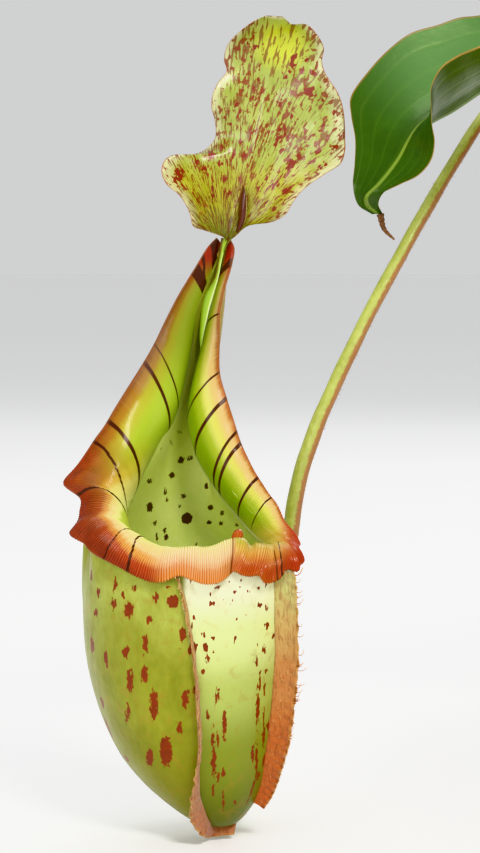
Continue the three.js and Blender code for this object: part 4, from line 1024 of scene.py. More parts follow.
def make_cup():
    place = cup_places(CUP_COLUMNS)
    azimuth = rim_wall(place)
    outside, _ = cup_skin(place, CUP_STEP["climb"])
    inside = lining_rings(place)
    well = inside[-1].mean(0)
    well[2] = cup_point(0.0, 0.0)[2] + WELL_UP
    within = spread_over(inside.shape[:2], lining_values(inside, azimuth))
    values = cup_values(outside, azimuth)
    values = {name: np.concatenate([value, within[name]]) for name, value in values.items()}
    rings = np.concatenate([outside, inside])
    finish = np.repeat([0, 1], [outside[..., 0].size, inside[1:, :, 0].size])
    shape = Shape()
    number = shape.grid(rings + PITCHER_AT, finish, capped=False, **values)
    shape.fan(number[0], rings[0].mean(0) + PITCHER_AT, 0, values, 0)
    shape.fan(number[-1], well + PITCHER_AT, 1, values, -1)
    make_spine(shape)
    piece = shape.make("pitcher_cup_skin", [cup_finish(), lining_finish(), spine_finish()])
    return settle(piece, "cup_green", "pitcher_cup")


def cup_finish():
    """Waxy yellow-green skin with torn red marks, paler between the wings and olive towards the foot."""
    def build(g):
        place = g.place()
        along = g.place((1000, 1000, 320))
        height = g.height()
        tone = g.group("Mottle", vector=g.place((1000, 1000, 600)), scale=0.05, contrast=1.2)
        # The ground is darker low on the cup, olive at the foot, and paler towards its top: partly the skin's
        # own tone, partly painted shade low down.
        ground = g.mix(tone, (108, 113, 22), (140, 144, 46))
        ground = g.mix(g.step(height, 0.085, 0.145), ground, g.mix(tone, (130, 136, 42), (162, 170, 80)))
        ground = g.over(ground, (118, 118, 20), g.step(height, 0.085, 0.01), 0.85)
        # The paler strip between the wings runs from painted shade low down to a painted highlight, near
        # white, at its top.
        pale = g.ramp(g.times(height, 6.0), [
            (0.08, (86, 96, 22)), (0.3, (118, 130, 42)), (0.5, (164, 176, 92)), (0.68, (212, 222, 152)),
            (0.84, (246, 248, 214)),
        ])
        ground = g.over(ground, pale, g.value_of("strip"), 0.9)
        ground = g.over(ground, (158, 132, 62), g.value_of("neck"), 0.8)
        smudge = g.step(g.noise(place, 0.16, 5.0, 0.8), 0.52, 0.7)
        ground = g.over(ground, (150, 112, 46), smudge, 0.3)
        freckle = g.step(g.noise(along, 1.3, 3.0), 0.56, 0.72)
        share = g.times(g.minus(1.0, g.value_of("strip")), 0.4)
        ground = g.over(ground, (146, 98, 40), freckle, share)
        drawn_out = g.place((1000, 1000, 420))
        field = g.value_of("mark")
        mark = g.group("Ragged mark", vector=drawn_out, field=field, grain=0.8, tear=0.9, edge=0.16)
        red = g.untinted(bpy.context.scene.nepenthes_colours.mark)
        red = g.over(red, (76, 10, 0), g.group("Mottle", vector=place, scale=0.4, contrast=1.0), 0.6)
        colour = g.mix(mark, ground, red)
        relief = g.group("Skin relief", vector=along, scale=0.2, pores=0.18)
        return {"Base Color": colour, "Height": relief, "Roughness": g.step(tone, 0.0, 1.0, 0.4, 0.3)}

    return finish_of(
        "cup skin", build, main="cup", bump=0.0004, glow=0.1, Subsurface_Weight=0.12, Subsurface_Scale=0.003,
        Subsurface_Radius=(0.9, 1.0, 0.3), Coat_Weight=0.12, Coat_Roughness=0.3, Specular_IOR_Level=0.4,
        Specular_Tint=(1.0, 1.0, 0.6, 1.0),
    )


def lining_finish():
    """The smooth inside: bright green below the rim, duller up the neck and low down, with brown marks."""
    def build(g):
        place = g.place()
        tone = g.group("Mottle", vector=place, scale=0.05, contrast=0.8)
        ground = g.mix(tone, (222, 240, 124), (242, 250, 160))
        height = g.height()
        ground = g.mix(g.step(height, 0.2, 0.27), ground, (140, 146, 54))
        ground = g.mix(g.step(height, 0.11, 0.04), ground, (132, 146, 50))
        mark = g.group("Ragged mark", vector=place, field=g.value_of("mark"), grain=0.8, tear=0.4, edge=0.14)
        colour = g.mix(mark, ground, (74, 36, 12))
        relief = g.group("Skin relief", vector=place, scale=0.5, pores=0.3)
        return {"Base Color": colour, "Height": relief}

    return finish_of(
        "cup lining", build, main="lining", bump=0.0002, glow=0.3, Roughness=0.4, Subsurface_Weight=0.1,
        Subsurface_Scale=0.004, Subsurface_Radius=(0.8, 1.0, 0.3),
    )


# The ridge in the slot of the neck: its middle and width in the photograph's pixels, and its depth.
NECK_SPINE = [
    (224.5, 238, 7, 18.3), (222, 250, 5, 19.8), (219.5, 262, 4, 22), (217, 275, 4.4, 24.6),
    (213, 286, 7, 26.6), (208.5, 297, 9.5, 27.8), (205.8, 308, 8.6, 28.6), (203.8, 320, 7, 29.4),
    (202, 332, 5, 30.2), (200.8, 343, 3, 30.8), (200.2, 354, 0.6, 31.2),
]
SPINE_ROWS, SPINE_ACROSS = 90, 13


def spot_in_pitcher(across, down, away):
    """The point of the pitcher's frame seen at a pixel of the photograph, at a distance away from the
    viewer."""
    pixel = np.stack([(across - PHOTO_WIDTH / 2), (PHOTO_HEIGHT / 2 - down)], -1) / PIXELS_PER_SLOPE
    ray = pixel[..., :1] * [1.0, 0, 0] + pixel[..., 1:] * CAMERA_UP - CAMERA_BACK
    step = (PITCHER_AT[1] + away - CAMERA_AT[1]) / ray[..., 1]
    return CAMERA_AT + ray * step[..., None] - PITCHER_AT


def make_spine(shape):
    """The green ridge that runs from the lid's stalk down the slot of the neck."""
    row = Spline(NECK_SPINE).at(np.linspace(0, 1, SPINE_ROWS))
    w = np.linspace(-1, 1, SPINE_ACROSS)
    middle = spot_in_pitcher(row[:, 0], row[:, 1], row[:, 3])
    half = np.maximum(row[:, 2:3], 0.2) * HALF_PIXEL
    x, y, z = np.moveaxis(middle[:, None], -1, 0)
    bow = (1.0 - w ** 2) * 0.9 + 0.5 * smooth(0.4, 0.8, w)
    front = np.stack(np.broadcast_arrays(x + half * w, y - np.minimum(half, 1) * bow, z), -1)
    back = front * [1, 0, 1] + (middle[:, None, 1:2] + 0.8) * [0, 1, 0]
    rings = np.concatenate([front, back[:, ::-1]], axis=1)
    shape.grid(rings + PITCHER_AT, finish=2, across=np.concatenate([w, w[::-1]]))


def spine_finish():
    """The green ridge in the slot of the neck: a painted highlight on its right edge, a brown upper left and
    painted shade low on its left.
    """
    def build(g):
        across, height = g.value_of("across"), g.height()
        ground = g.mix(g.step(across, -1.0, 0.6), (116, 146, 20), (160, 196, 56))
        brown = g.times(g.step(across, 0.3, -0.6), g.step(height, 0.284, 0.294))
        ground = g.over(ground, (96, 38, 14), brown, 0.8)
        # Painted highlight: a pale line down the ridge's right edge.
        line = g.times(g.step(across, 0.45, 0.75), g.step(height, 0.308, 0.3))
        ground = g.mix(line, ground, (232, 242, 170))
        # Painted shade: near black low on the ridge's left, where it sinks into the slot.
        dark = g.times(g.step(across, -0.2, -0.5), g.step(height, 0.262, 0.256))
        colour = g.mix(dark, ground, (40, 26, 6))
        return {"Base Color": colour}

    return finish_of("neck spine", build, glow=0.2, Roughness=0.35)


# Rim
RIM_RIB = {"columns": 5, "tooth": 0.4}
# Places across the sheet, over it and under it, at which the rim has points.
RIM_TOP = [
    0, 0.03, 0.08, 0.14, 0.2, 0.27, 0.34, 0.42, 0.5, 0.58, 0.66, 0.74, 0.81, 0.87, 0.92, 0.96, 0.985, 1,
]
RIM_UNDER = [1, 0.9, 0.7, 0.45, 0.2, 0.06, 0]
# Ripples along the rim: depth, turn for each millimetre, and shift.
RIB_JITTER = [(0.7, 0.61, 0), (0.5, 1.7, 2)]
RIB_WANDER = [(0.25, 0.37, 0), (0.15, 1.13, 0)]
# The edge's teeth take up the sheet outwards of this share, and its outer edge rolls down by so much.
TEETH_FROM, EDGE_ROLL = 0.9, 1.3
LIP_OUT, LIP_DOWN = 0.35, 0.7
# The rim's zones in the pitcher's frame: where each starts and where it is whole, in millimetres.
RIM_ZONES = {
    "neck": (152, 196), "tips_left": (-28, -54), "tips_right": (44, 54), "tips_below": (222, 196),
    "gold_left": (-22, -8), "gold_right": (28, 21), "gold_front": (-10, -25),
    "sag_left": (-52, -26), "sag_front": (0, -20),
}
# Where the green of the neck starts and is whole, by height: left of the fold and right of it.
GREEN_HEIGHTS = {"starts": (162, 143), "whole": (212, 168)}
# How far a stripe may run along the rim between its two ends, in millimetres.
STRIPE_LEAN = 14


def rim_stripe_field(place, run, across):
    """The distance in millimetres along the rim to the nearest dark stripe, below 0 inside it."""
    samples, length = even_rim_places(3000)
    outer = in_photo(rim_point(samples, 0.98) + PITCHER_AT)
    inner = in_photo(rim_point(samples, 0.04) + PITCHER_AT)
    field = np.full((len(run), len(across)), NO_MARK)
    for outer_end, inner_end, width in RIM_STRIPES:
        start = length[np.argmin(lengths_of(outer - outer_end)[:, 0])]
        stop = length[np.argmin(lengths_of(inner - inner_end)[:, 0])]
        stop = start + np.clip(stop - start, -STRIPE_LEAN, STRIPE_LEAN)
        middle = mixed(stop, start, smooth(-0.1, 1.1, across))
        field = np.minimum(field, np.abs(run[:, None] - middle[None]) - width / 2)
    return field


# The rim folds over itself at this row of RIM.
FOLD_ROW = 26.4
FOLD = {"lift": 1.7, "dip": 0.6, "reach": 12}
# The rolled tip that stands on the fold: centre points and radii.
FOLD_TIP = [
    ((20.4, -52, 148), 1.2), ((22.2, -49.5, 152.5), 2.1), ((23.6, -46.5, 157), 2.6),
    ((24.8, -43.5, 161.2), 2.8), ((25.8, -42, 164.3), 1.9),
]
FOLD_TIP_GRID, FOLD_TIP_RIBS = (60, 64), 11


def rim_rings(place, run, crest, past, rib_height, ruffle_depth):
    """The rim's rings: over the sheet, round its outer edge, back under it and round its inner edge."""
    top, under = np.array(RIM_TOP), np.array(RIM_UNDER)
    up_neck = smooth(*RIM_ZONES["neck"], rim_point(place, 0.5)[:, 2])
    ruffle = ruffle_depth * np.sin(2 * math.pi * run / RIM_SHEET["ruffle_length"]) * mixed(1, 0.08, up_neck)
    width = lengths_of(rim_outer.at(place) - rim_inner.at(place))
    open_share = smooth(14, 30, width)
    tooth = RIM_RIB["tooth"] * (crest * mixed(1, 0.15, up_neck))[:, None] / width
    rib = rib_height * (crest * (1 + ripples(run, RIB_WANDER)) * mixed(1, 0.12, up_neck))[:, None]
    rib = rib * smooth(0.06, 0.4, top) * mixed(0.3, 1, open_share)
    lap = FOLD["lift"] * smooth(-0.3, 0.6, past) * smooth(FOLD["reach"], 3, past)
    lap = lap - FOLD["dip"] * smooth(-7, -0.8, past) * smooth(0.3, -0.5, past)

    def toothed(across, strength):
        """The teeth draw the outermost part of the sheet out."""
        past_start = np.maximum(0, across - TEETH_FROM) / (1 - TEETH_FROM)
        return across * (1 + strength * tooth * past_start)

    def skin(across, shares, lift):
        """One face of the sheet: its ruffle, its rolled edge and its lap at the fold."""
        curl = -EDGE_ROLL * smooth(0.84, 1, shares) * mixed(0.2, 1, open_share)
        laps = lap[:, None] * smooth(0.3, 0.65, shares)
        return rim_point(place[:, None], across, ruffle[:, None] * shares ** 2 + curl + laps + lift)

    over = skin(toothed(top, 1), top, rib)
    below = skin(toothed(under, 0.7), under, -RIM_SHEET["thickness"])
    lip = np.concatenate([1 + LIP_OUT / width + tooth, -LIP_OUT / width], axis=1)
    lips = skin(lip, np.array([1.0, 0.0]), -LIP_DOWN)
    return np.concatenate([over, lips[:, :1], below, lips[:, 1:]], axis=1)


def rim_values(rings, place, run, crest, past):
    """The places across and along the rim and the masks of its colour zones."""
    across = np.concatenate([RIM_TOP, [1.0], RIM_UNDER, [0.0]])
    x, y, height = np.moveaxis(rings, -1, 0)
    zones = RIM_ZONES
    flared = np.maximum(smooth(*zones["tips_left"], x) * 0.9, smooth(*zones["tips_right"], x))
    golden = smooth(*zones["gold_left"], x) * smooth(*zones["gold_right"], x)
    sided = smooth(-1, 1, past)[:, None]
    low, high = mixed(*GREEN_HEIGHTS["starts"], sided), mixed(*GREEN_HEIGHTS["whole"], sided)
    return {
        "mark": rim_stripe_field(place, run, across), "across": across, "run": run[:, None],
        "crest": crest[:, None], "sided": sided, "neck": smooth(0, 1, (height - low) / (high - low)),
        "upper": np.concatenate([np.ones(len(RIM_TOP)), [0.6], np.zeros(len(RIM_UNDER)), [0.6]]),
        "gold": golden * smooth(*zones["gold_front"], y),
        "sag": smooth(*zones["sag_left"], x) * smooth(*zones["sag_front"], y),
        "tips": flared * smooth(0.32, 0.66, across) * smooth(*zones["tips_below"], height),
        "crease": np.exp(-((past + 0.5) / 0.8) ** 2)[:, None] * smooth(0.15, 0.45, across),
    }


def make_rim(ribs, rib_height, ruffle_depth):
    """The ribbed rim. rib_height and ruffle_depth are in millimetres."""
    place, run = even_rim_places(ribs * RIM_RIB["columns"] + 1)
    phase = 2 * math.pi * np.arange(len(place)) / RIM_RIB["columns"] + ripples(run, RIB_JITTER)
    crest = (0.5 - 0.5 * np.cos(phase)) ** 0.7
    fold_at = np.interp(FOLD_ROW / (len(RIM) - 1), place, run)
    past = run - fold_at
    rings = rim_rings(place, run, crest, past, rib_height, ruffle_depth)
    shape = Shape()
    shape.grid(rings + PITCHER_AT, **rim_values(rings, place, run, crest, past))
    add_fold_tip(shape, fold_at)
    piece = shape.make("peristome_ribbed", [rim_finish()])
    return settle(piece, "rim_orange", "peristome")


def add_fold_tip(shape, run):
    """The small rolled finger of rim that stands up where the rim folds over itself."""
    t = np.linspace(0, 1, FOLD_TIP_GRID[0])
    line = Spline([point for point, _ in FOLD_TIP]).at(t)
    radius = np.interp(t, np.linspace(0, 1, len(FOLD_TIP)), [r for _, r in FOLD_TIP])
    radius = radius * np.sqrt(np.clip((1.02 - t) / 0.12, 0, 1))
    sides = FOLD_TIP_GRID[1]
    out = tube_rings(line, 1.0, sides, start=(0, 1, 0)) - line[:, None]
    crest = 0.5 - 0.5 * np.cos(angles_round(sides) * FOLD_TIP_RIBS)
    rings = line[:, None] + out * (radius[:, None] * (1 + 0.07 * crest))[..., None]
    # The finger's left side takes the rim tips' deep red: painted shade on the side away from the light.
    shape.grid(
        rings + PITCHER_AT, mark=NO_MARK, across=0.56, upper=1.0,
        crest=0.4 + 0.3 * crest, run=run, tips=0.4 * smooth(0.1, -0.7, out[..., 0]),
    )


def rim_finish():
    """Glossy ribbed rim: green inside and up the neck, gold over its crest and orange-red outside."""
    def build(g):
        place = g.place()
        across = g.value_of("across")
        run = g.value_of("run")
        neck = g.value_of("neck")
        height = g.height()
        lines = g.add("CombineXYZ", {0: g.times(run, 0.8), 1: g.times(across, 1.2)}).outputs[0]
        streak = g.minus(g.noise(lines, 1.0, 3.0), 0.5)
        broad = g.minus(g.noise(g.add("CombineXYZ", {0: g.times(run, 0.09)}).outputs[0], 1.0, 2.0), 0.5)
        shift = g.plus(g.times(streak, 0.16), g.times(broad, 0.16))
        shifted = g.plus(across, shift)
        flare = g.ramp(g.minus(shifted, g.times(g.value_of("sag"), 0.28)), [
            (0.0, (190, 206, 84)), (0.14, (240, 236, 150)), (0.32, (244, 224, 138)), (0.46, (222, 160, 74)),
            (0.6, (162, 50, 12)), (0.78, (120, 18, 4)), (0.94, (98, 12, 2)), (1.0, (120, 54, 16)),
        ])
        gold = g.ramp(shifted, [
            (0.0, (206, 214, 100)), (0.45, (234, 230, 130)), (0.64, (242, 222, 148)), (0.74, (232, 198, 138)),
            (0.82, (214, 164, 108)), (0.88, (196, 126, 66)), (1.0, (200, 118, 38)),
        ])
        flare = g.mix(g.value_of("gold"), flare, gold)
        salmon = g.ramp(shifted, [
            (0.0, (240, 206, 116)), (0.5, (236, 176, 100)), (0.66, (222, 138, 76)), (0.8, (194, 96, 52)),
            (0.92, (170, 62, 20)), (1.0, (176, 78, 18)),
        ])
        flare = g.over(flare, salmon, g.value_of("sided"), 0.85)
        sided = g.plus(across, g.times(shift, 0.4))
        climb = g.ramp(sided, [
            (0.0, (150, 168, 76)), (0.1, (146, 172, 52)), (0.4, (156, 182, 56)), (0.64, (154, 176, 54)),
            (0.8, (160, 160, 52)), (0.91, (146, 104, 36)), (1.0, (112, 56, 20)),
        ])
        pale = g.ramp(sided, [
            (0.0, (150, 170, 60)), (0.14, (136, 166, 40)), (0.44, (116, 146, 22)), (0.6, (142, 162, 38)),
            (0.76, (190, 190, 84)), (0.9, (212, 182, 112)), (1.0, (150, 80, 34)),
        ])
        climb = g.mix(g.value_of("sided"), climb, pale)
        # Painted shade: the neck's colours are darkened towards its top.
        climb = g.over(climb, (40, 38, 4), g.step(height, 0.222, 0.265), 0.42)
        ground = g.mix(neck, flare, climb)
        # The flared tips are deep red, darker left of the fold: their own red, with painted shade on the left
        # tips.
        deep = g.mix(g.value_of("sided"), (98, 14, 2), (158, 28, 10))
        mottle = g.group("Mottle", vector=place, scale=0.12, contrast=1.2)
        deep = g.over(deep, (176, 60, 22), mottle, 0.5)
        ground = g.over(ground, deep, g.value_of("tips"), 0.9)
        tip = g.times(g.step(height, 0.286, 0.304), g.step(across, 0.15, 0.5))
        ground = g.mix(tip, ground, (124, 20, 8))
        open_share = g.minus(1.0, g.times(neck, 0.9))
        # Painted shade in the grooves between the ribs, where the sheet lies open.
        groove = g.times(g.minus(1.0, g.value_of("crest")), g.step(across, 0.12, 0.5))
        groove_shade = g.mix(g.value_of("gold"), (92, 18, 2), (150, 70, 18))
        ground = g.over(ground, groove_shade, g.times(groove, open_share), 0.6)
        # Painted highlight: a pale cream line along each rib's crest, most of all over the gold front.
        ridge = g.times(g.step(g.value_of("crest"), 0.55, 1.0), g.step(across, 0.15, 0.4))
        ridge_highlight = g.times(g.times(ridge, open_share), g.step(across, 0.95, 0.55, 0.1, 0.4))
        ridge_highlight = g.times(ridge_highlight, g.step(g.value_of("gold"), 0.0, 1.0, 0.5, 1.6), clamp=True)
        ground = g.mix(ridge_highlight, ground, g.mix(g.value_of("gold"), (250, 206, 150), (255, 240, 200)))
        # Painted shadow along the fold where the rim laps over itself.
        ground = g.over(ground, (94, 24, 6), g.value_of("crease"), 0.6)
        mark = g.group("Ragged mark", vector=lines, field=g.value_of("mark"), grain=0.9, tear=0.3, edge=0.16)
        colour = g.mix(mark, ground, (52, 10, 6))
        # Painted highlight: a thin pale line along the inner edge up the neck.
        line = g.times(g.step(across, 0.12, 0.07), neck)
        colour = g.over(colour, (232, 240, 190), line, 0.9)
        line = g.times(g.step(across, 0.975, 0.995), neck)
        colour = g.over(colour, (206, 150, 110), line, 0.12)
        below = g.mix(g.step(across, 0.3, 0.75), (148, 142, 52), (168, 112, 54))
        colour = g.mix(g.value_of("upper"), below, colour)
        return {"Base Color": colour, "Roughness": g.step(neck, 0.0, 1.0, 0.26, 0.42)}

    return finish_of(
        "rim gloss", build, main="rim", glow=0.08, Coat_Weight=0.26, Coat_Roughness=0.1,
        Specular_IOR_Level=0.35, Specular_Tint=(1.0, 0.62, 0.36, 1.0),
    )


# Lid
LID_STEPS, LID_HALF = 150, 30
# The red marks fan out from this pixel of the photograph.
APEX_PIXEL = (226, 238)
LID_BASE = (18.0, 18.6, 306.0)
# How deep the lid's crinkles, waves and keel are, in millimetres, and how far its texture is drawn out.
LID_FORM = {"crinkle": 0.5, "rays": 26, "wave": 1.3, "keel": 1.4, "flow_round": 34, "flow_out": 0.22}


def lid_sheet(t, w):
    """The lid's points before they are crinkled. w runs from -1 at the left edge to 1 at the right."""
    left, middle, right = (Spline([row[k] for row in LID]).at(t)[:, None] for k in range(3))
    share = np.abs(w)[None, :, None]
    side = np.where(w[None, :, None] < 0, left, right)
    sheet = mixed(middle, side, share)
    sheet[..., 1] = mixed(middle[..., 1], side[..., 1], share[..., 0] ** 2)
    return sheet


def make_lid():
    t = np.linspace(0, 1, LID_STEPS)
    w = np.linspace(-1, 1, 2 * LID_HALF + 1)
    share = np.abs(w)[None]
    sheet = lid_sheet(t, w)
    away = sheet - LID_BASE
    radius = np.hypot(away[..., 0], away[..., 2])
    angle = np.arctan2(away[..., 0], away[..., 2])
    rays = np.sin(angle * LID_FORM["rays"] + waves(sheet, SEEDS["lid crinkle"]) * 1.5)
    crinkle = LID_FORM["crinkle"] * rays * smooth(12, 60, radius) * smooth(0, 0.3, share)
    wave = waves(sheet, SEEDS["lid wave"], low=0.012, high=0.03) * share ** 2 * smooth(8, 40, radius)
    keel = -LID_FORM["keel"] * smooth(0.12, 0, share) * smooth(1, 0.75, t)[:, None]
    front = sheet.copy()
    front[..., 1] += crinkle + LID_FORM["wave"] * wave + 0.5 * keel
    back = front.copy()
    back[..., 1] += LID_THICKNESS * mixed(0.35, 1, smooth(0, 0.25, 1 - share)) - 0.6 * keel
    edge = smooth(0, 0.08, t)[:, None] * smooth(1, 0.97, t)[:, None]
    values = {
        "mark": mark_field(in_photo(front + PITCHER_AT), LID_MARKS, towards=APEX_PIXEL),
        "edge": np.maximum(share * edge, smooth(0.94, 1, t)[:, None]), "radius": radius, "turn": angle,
        "flow": np.stack([angle * LID_FORM["flow_round"], radius * LID_FORM["flow_out"], 0 * radius], -1),
    }
    values = {name: np.concatenate([value, value[:, ::-1]], axis=1) for name, value in values.items()}
    shape = Shape()
    shape.grid(np.concatenate([front, back[:, ::-1]], axis=1) + PITCHER_AT, **values)
    add_keel(shape)
    piece = shape.make("lid_blade", [lid_finish()])
    return settle(piece, "lid_yellow", "lid")


# The ridge on the lid's face: its middle and width in the photograph's pixels, and its depth.
LID_KEEL = [
    (243.5, 187, 2, 14), (243.5, 196, 6, 13), (243, 208, 8, 12.5), (242, 219, 8, 13), (239.5, 228, 6, 14),
    (237, 233, 2, 15),
]
# The ridge's section over its half width and its height, and how high it stands.
KEEL_SECTION = [(-1.0, -0.6), (-0.85, 0.2), (-0.45, 0.7), (0.1, 1.0), (0.6, 0.9), (0.9, 0.5), (1.0, -0.6)]
KEEL_HEIGHT, KEEL_DEPTH = 2.4, 2.2


def add_keel(shape):
    """The short dark ridge that stands on the lid's face, just over its base."""
    row = Spline(LID_KEEL).at(np.linspace(0, 1, 40))
    middle = spot_in_pitcher(row[:, 0], row[:, 1], row[:, 3])
    u = np.linspace(0, 1, len(row))[:, None]
    over, out = np.array(KEEL_SECTION).T
    x = middle[:, :1] + over * row[:, 2:3] * HALF_PIXEL
    y = middle[:, 1:2] - out * KEEL_HEIGHT * np.sin(math.pi * mixed(0.08, 0.95, u)) ** 0.6
    ridge = np.stack(np.broadcast_arrays(x, y, middle[:, 2:]), -1)
    back = ridge[:, -2:0:-1] * [1, 0, 1] + (middle[:, None, 1:2] + KEEL_DEPTH) * [0, 1, 0]
    left = np.linspace(0.1, 1, len(over))
    rings = np.concatenate([ridge, back], axis=1) + PITCHER_AT
    shape.grid(rings, keel=np.concatenate([left, left[-2:0:-1]]))


# The bright hollow in the lid's upper part, in metres.
LID_HOLLOW = (-0.3823, -0.0287, 0.4155)


def lid_finish():
    """Thin yellow-green blade with red-brown marks that fan out from its base, and a pale band of painted
    highlight along its edge.
    """
    def build(g):
        place, flow, radius = g.place(), g.flow(), g.value_of("radius")
        turn = g.value_of("turn")
        height = g.height()
        tone = g.group("Mottle", vector=place, scale=0.04, contrast=1.2)
        ground = g.mix(tone, (146, 160, 56), (178, 186, 98))
        yellow = g.mix(tone, (152, 154, 26), (182, 180, 60))
        ground = g.mix(g.step(height, 0.362, 0.34), ground, yellow)
        hollow = g.step(g.distance_to(LID_HOLLOW), 0.02, 0.006)
        ground = g.over(ground, (200, 206, 50), hollow, 0.85)
        ground = g.mix(g.step(radius, 24, 8), ground, (128, 150, 44))
        # Painted highlight: a pale band along the edge.
        margin = g.step(g.value_of("edge"), 0.78, 0.96)
        ground = g.over(ground, (232, 224, 194), margin, 0.45)
        cluster = g.step(g.noise(g.stretched(flow, (0.16, 0.3, 1.0)), 1.0, 2.0), 0.36, 0.6, -0.06, 0.04)
        middle = g.step(g.math("ABSOLUTE", g.minus(turn, 0.2)), 0.42, 0.1)
        fine = g.plus(g.noise(g.stretched(flow, (2.0, 0.55, 1.0)), 1.0, 3.0), g.times(cluster, 0.5))
        fine = g.plus(fine, g.times(middle, 0.05))
        colour = g.over(ground, (124, 64, 26), g.step(fine, 0.565, 0.6), 0.8)
        small = g.plus(g.noise(g.stretched(flow, (1.0, 1.15, 1.0)), 1.0, 4.0, 0.4), cluster)
        small = g.minus(small, g.times(hollow, 0.1))
        colour = g.over(colour, (134, 50, 16), g.step(small, 0.565, 0.6), 0.9)
        field = g.plus(g.value_of("mark"), 0.35)
        rays = g.stretched(flow, (1.1, 1.3, 1.0))
        mark = g.group("Ragged mark", vector=rays, field=field, grain=1.0, tear=1.7, edge=0.2)
        colour = g.mix(mark, colour, (132, 40, 10))
        torn = g.noise(g.stretched(flow, (1.6, 0.5, 1.0)), 1.0, 3.0)
        low = g.times(g.step(radius, 46, 12), g.step(torn, 0.46, 0.54))
        colour = g.over(colour, (88, 44, 10), low, 0.85)
        line = g.step(g.value_of("edge"), 0.98, 0.995)
        colour = g.over(colour, (168, 96, 48), line, 0.8)
        # The ridge is dark brown, with a painted highlight in pale cream down its right flank.
        keel = g.value_of("keel")
        dark = g.mix(g.step(keel, 0.72, 0.9), (84, 32, 10), (222, 206, 150))
        colour = g.mix(g.step(keel, 0.02, 0.06), colour, dark)
        veins = g.group("Fine lines", across=g.times(turn, 40.0), pitch=1.0, sharpness=3.0)
        relief = g.plus(g.group("Skin relief", vector=place, scale=0.25, pores=0.15), g.times(veins, 0.15))
        return {"Base Color": colour, "Height": relief}

    return finish_of(
        "lid blade", build, main="lid", bump=0.0004, glow=0.25, Roughness=0.34, Coat_Weight=0.35,
        Coat_Roughness=0.2,
    )


# Wings
WING_WIDTHS = {
    "left": profile([
        (0.05, 6), (0.11, 8), (0.22, 9.5), (0.33, 9), (0.56, 7.5), (0.78, 6), (0.89, 4), (1, 2.6),
        (1.12, 2.2),
    ]),
    "right": profile([
        (0.3, 5), (0.36, 6.5), (0.44, 8), (0.56, 11), (0.67, 14), (0.78, 14.5), (0.89, 15), (1, 15),
        (1.12, 15.5),
    ]),
}
WING_LEANS = {
    "left": profile([(0.22, 0), (0.33, 5), (0.44, 3.5), (0.56, 1.5), (0.67, 0.5), (1.12, 0)]),
    "right": profile([(0.3, 0), (1.12, 0)]),
}
WING_LOW = {"left": 0.24, "right": 0.34}
WING_HIGH = 1.1
WING = {"thickness": 1.3, "steps": 170, "sink": 1.0, "lip": 0.3}
WING_ACROSS = [0, 0.15, 0.32, 0.5, 0.68, 0.84, 0.95, 1.0]
WING_FRILL = [(0.5, 150, 0), (0.35, 61, 1)]
HAIR_STEPS, HAIR_SIDES = 7, 5
# The left wing runs on under the foot of the cup: root and edge.
FLAP = [((25, -5, 12), (23, -9, 1.6)), ((17, -6, 9), (15.5, -10.5, 0.8)), ((12, -10, 10), (9.5, -16, 1.2))]


# The rows of hairs of each wing: where they start, how many, the two heights between which they grow from
# the short to the long length, their radius, how far they hook up and how much their tips swell.
FRINGES = {
    "left": [
        (0.14, 90, (56, 122), (1.4, 4.4), 0.27, 0.5, 0.1), (0.14, 800, (0, 1), (1.0, 1.0), 0.13, 0.2, 0.0),
        (0.0, 260, (0, 1), (1.5, 1.5), 0.12, 0.0, 0.0),
    ],
    "right": [
        (0.0, 74, (45, 92), (1.8, 6.2), 0.29, 0.55, 0.14), (0.0, 700, (30, 120), (1.7, 0.9), 0.13, 0.1, 0.0),
    ],
}


def partial_length(low, high, short, long):
    """Hair lengths that grow from short to long between two heights."""
    def length(height):
        return mixed(short, long, smooth(low, high, height))

    return length


def wing_lines(name):
    """Splines of a wing's foot, edge and sideways direction from its low end to its high end."""
    level = np.linspace(WING_LOW[name], WING_HIGH, 19)
    on_cup = np.minimum(level, 1)
    azimuth = WING_AZIMUTHS[name](level)
    root = cup_point(on_cup, azimuth)
    root[:, 2] += (level - on_cup) * 150
    out = cup_normal(on_cup, azimuth)
    side = unit(cup_point(on_cup, azimuth + 1) - cup_point(on_cup, azimuth - 1))
    edge = root + out * WING_WIDTHS[name](level)[:, None] - side * WING_LEANS[name](level)[:, None]
    foot = root - out * (WING["sink"] + (level - on_cup) * 50)[:, None]
    if name == "left":
        sides = [unit(np.array([0.35 * i, -0.9 + 0.2 * i, 0])) for i in range(len(FLAP))]
        foot = np.concatenate([[row[0] for row in FLAP], foot])
        edge = np.concatenate([[row[1] for row in FLAP], edge])
        side = np.concatenate([sides, side])
    return Spline(foot), Spline(edge), Spline(side)


def fringe(shape, edge, out, up, side, rng, count, length, radius, hook, tip):
    """Curved hairs rooted on a wing's edge. hook is how far each tip curls back up."""
    pick = np.sort(rng.uniform(0, len(edge) - 1.001, count))
    low = pick.astype(int)
    share = (pick - low)[:, None]

    def at(line):
        return mixed(line[low], line[low + 1], share)

    root, out, up, side = at(edge), unit(at(out)), unit(at(up)), unit(at(side))
    reach = (length(root[:, 2]) * rng.uniform(0.6, 1.15, count))[:, None]
    lean = rng.uniform(-0.35, 0.35, (count, 1))
    droop = rng.uniform(-0.3, 0.2, (count, 1))
    t = np.linspace(0, 1, HAIR_STEPS)[None, :, None]
    bend = hook * rng.uniform(0.5, 1.2, (count, 1))[:, None]
    lines = (root - out * 0.8)[:, None] + reach[:, None] * (
        out[:, None] * (t - 0.25 * t ** 2) + up[:, None] * (droop[:, None] * t + bend * t ** 3)
        + side[:, None] * lean[:, None] * t ** 2
    )
    thick = radius * (1 - 0.55 * t[..., 0]) + tip * np.exp(-((t[..., 0] - 0.96) / 0.06) ** 2)
    shape.hairs(hair_rings(lines, thick, HAIR_SIDES) + PITCHER_AT, finish=1, across=t)


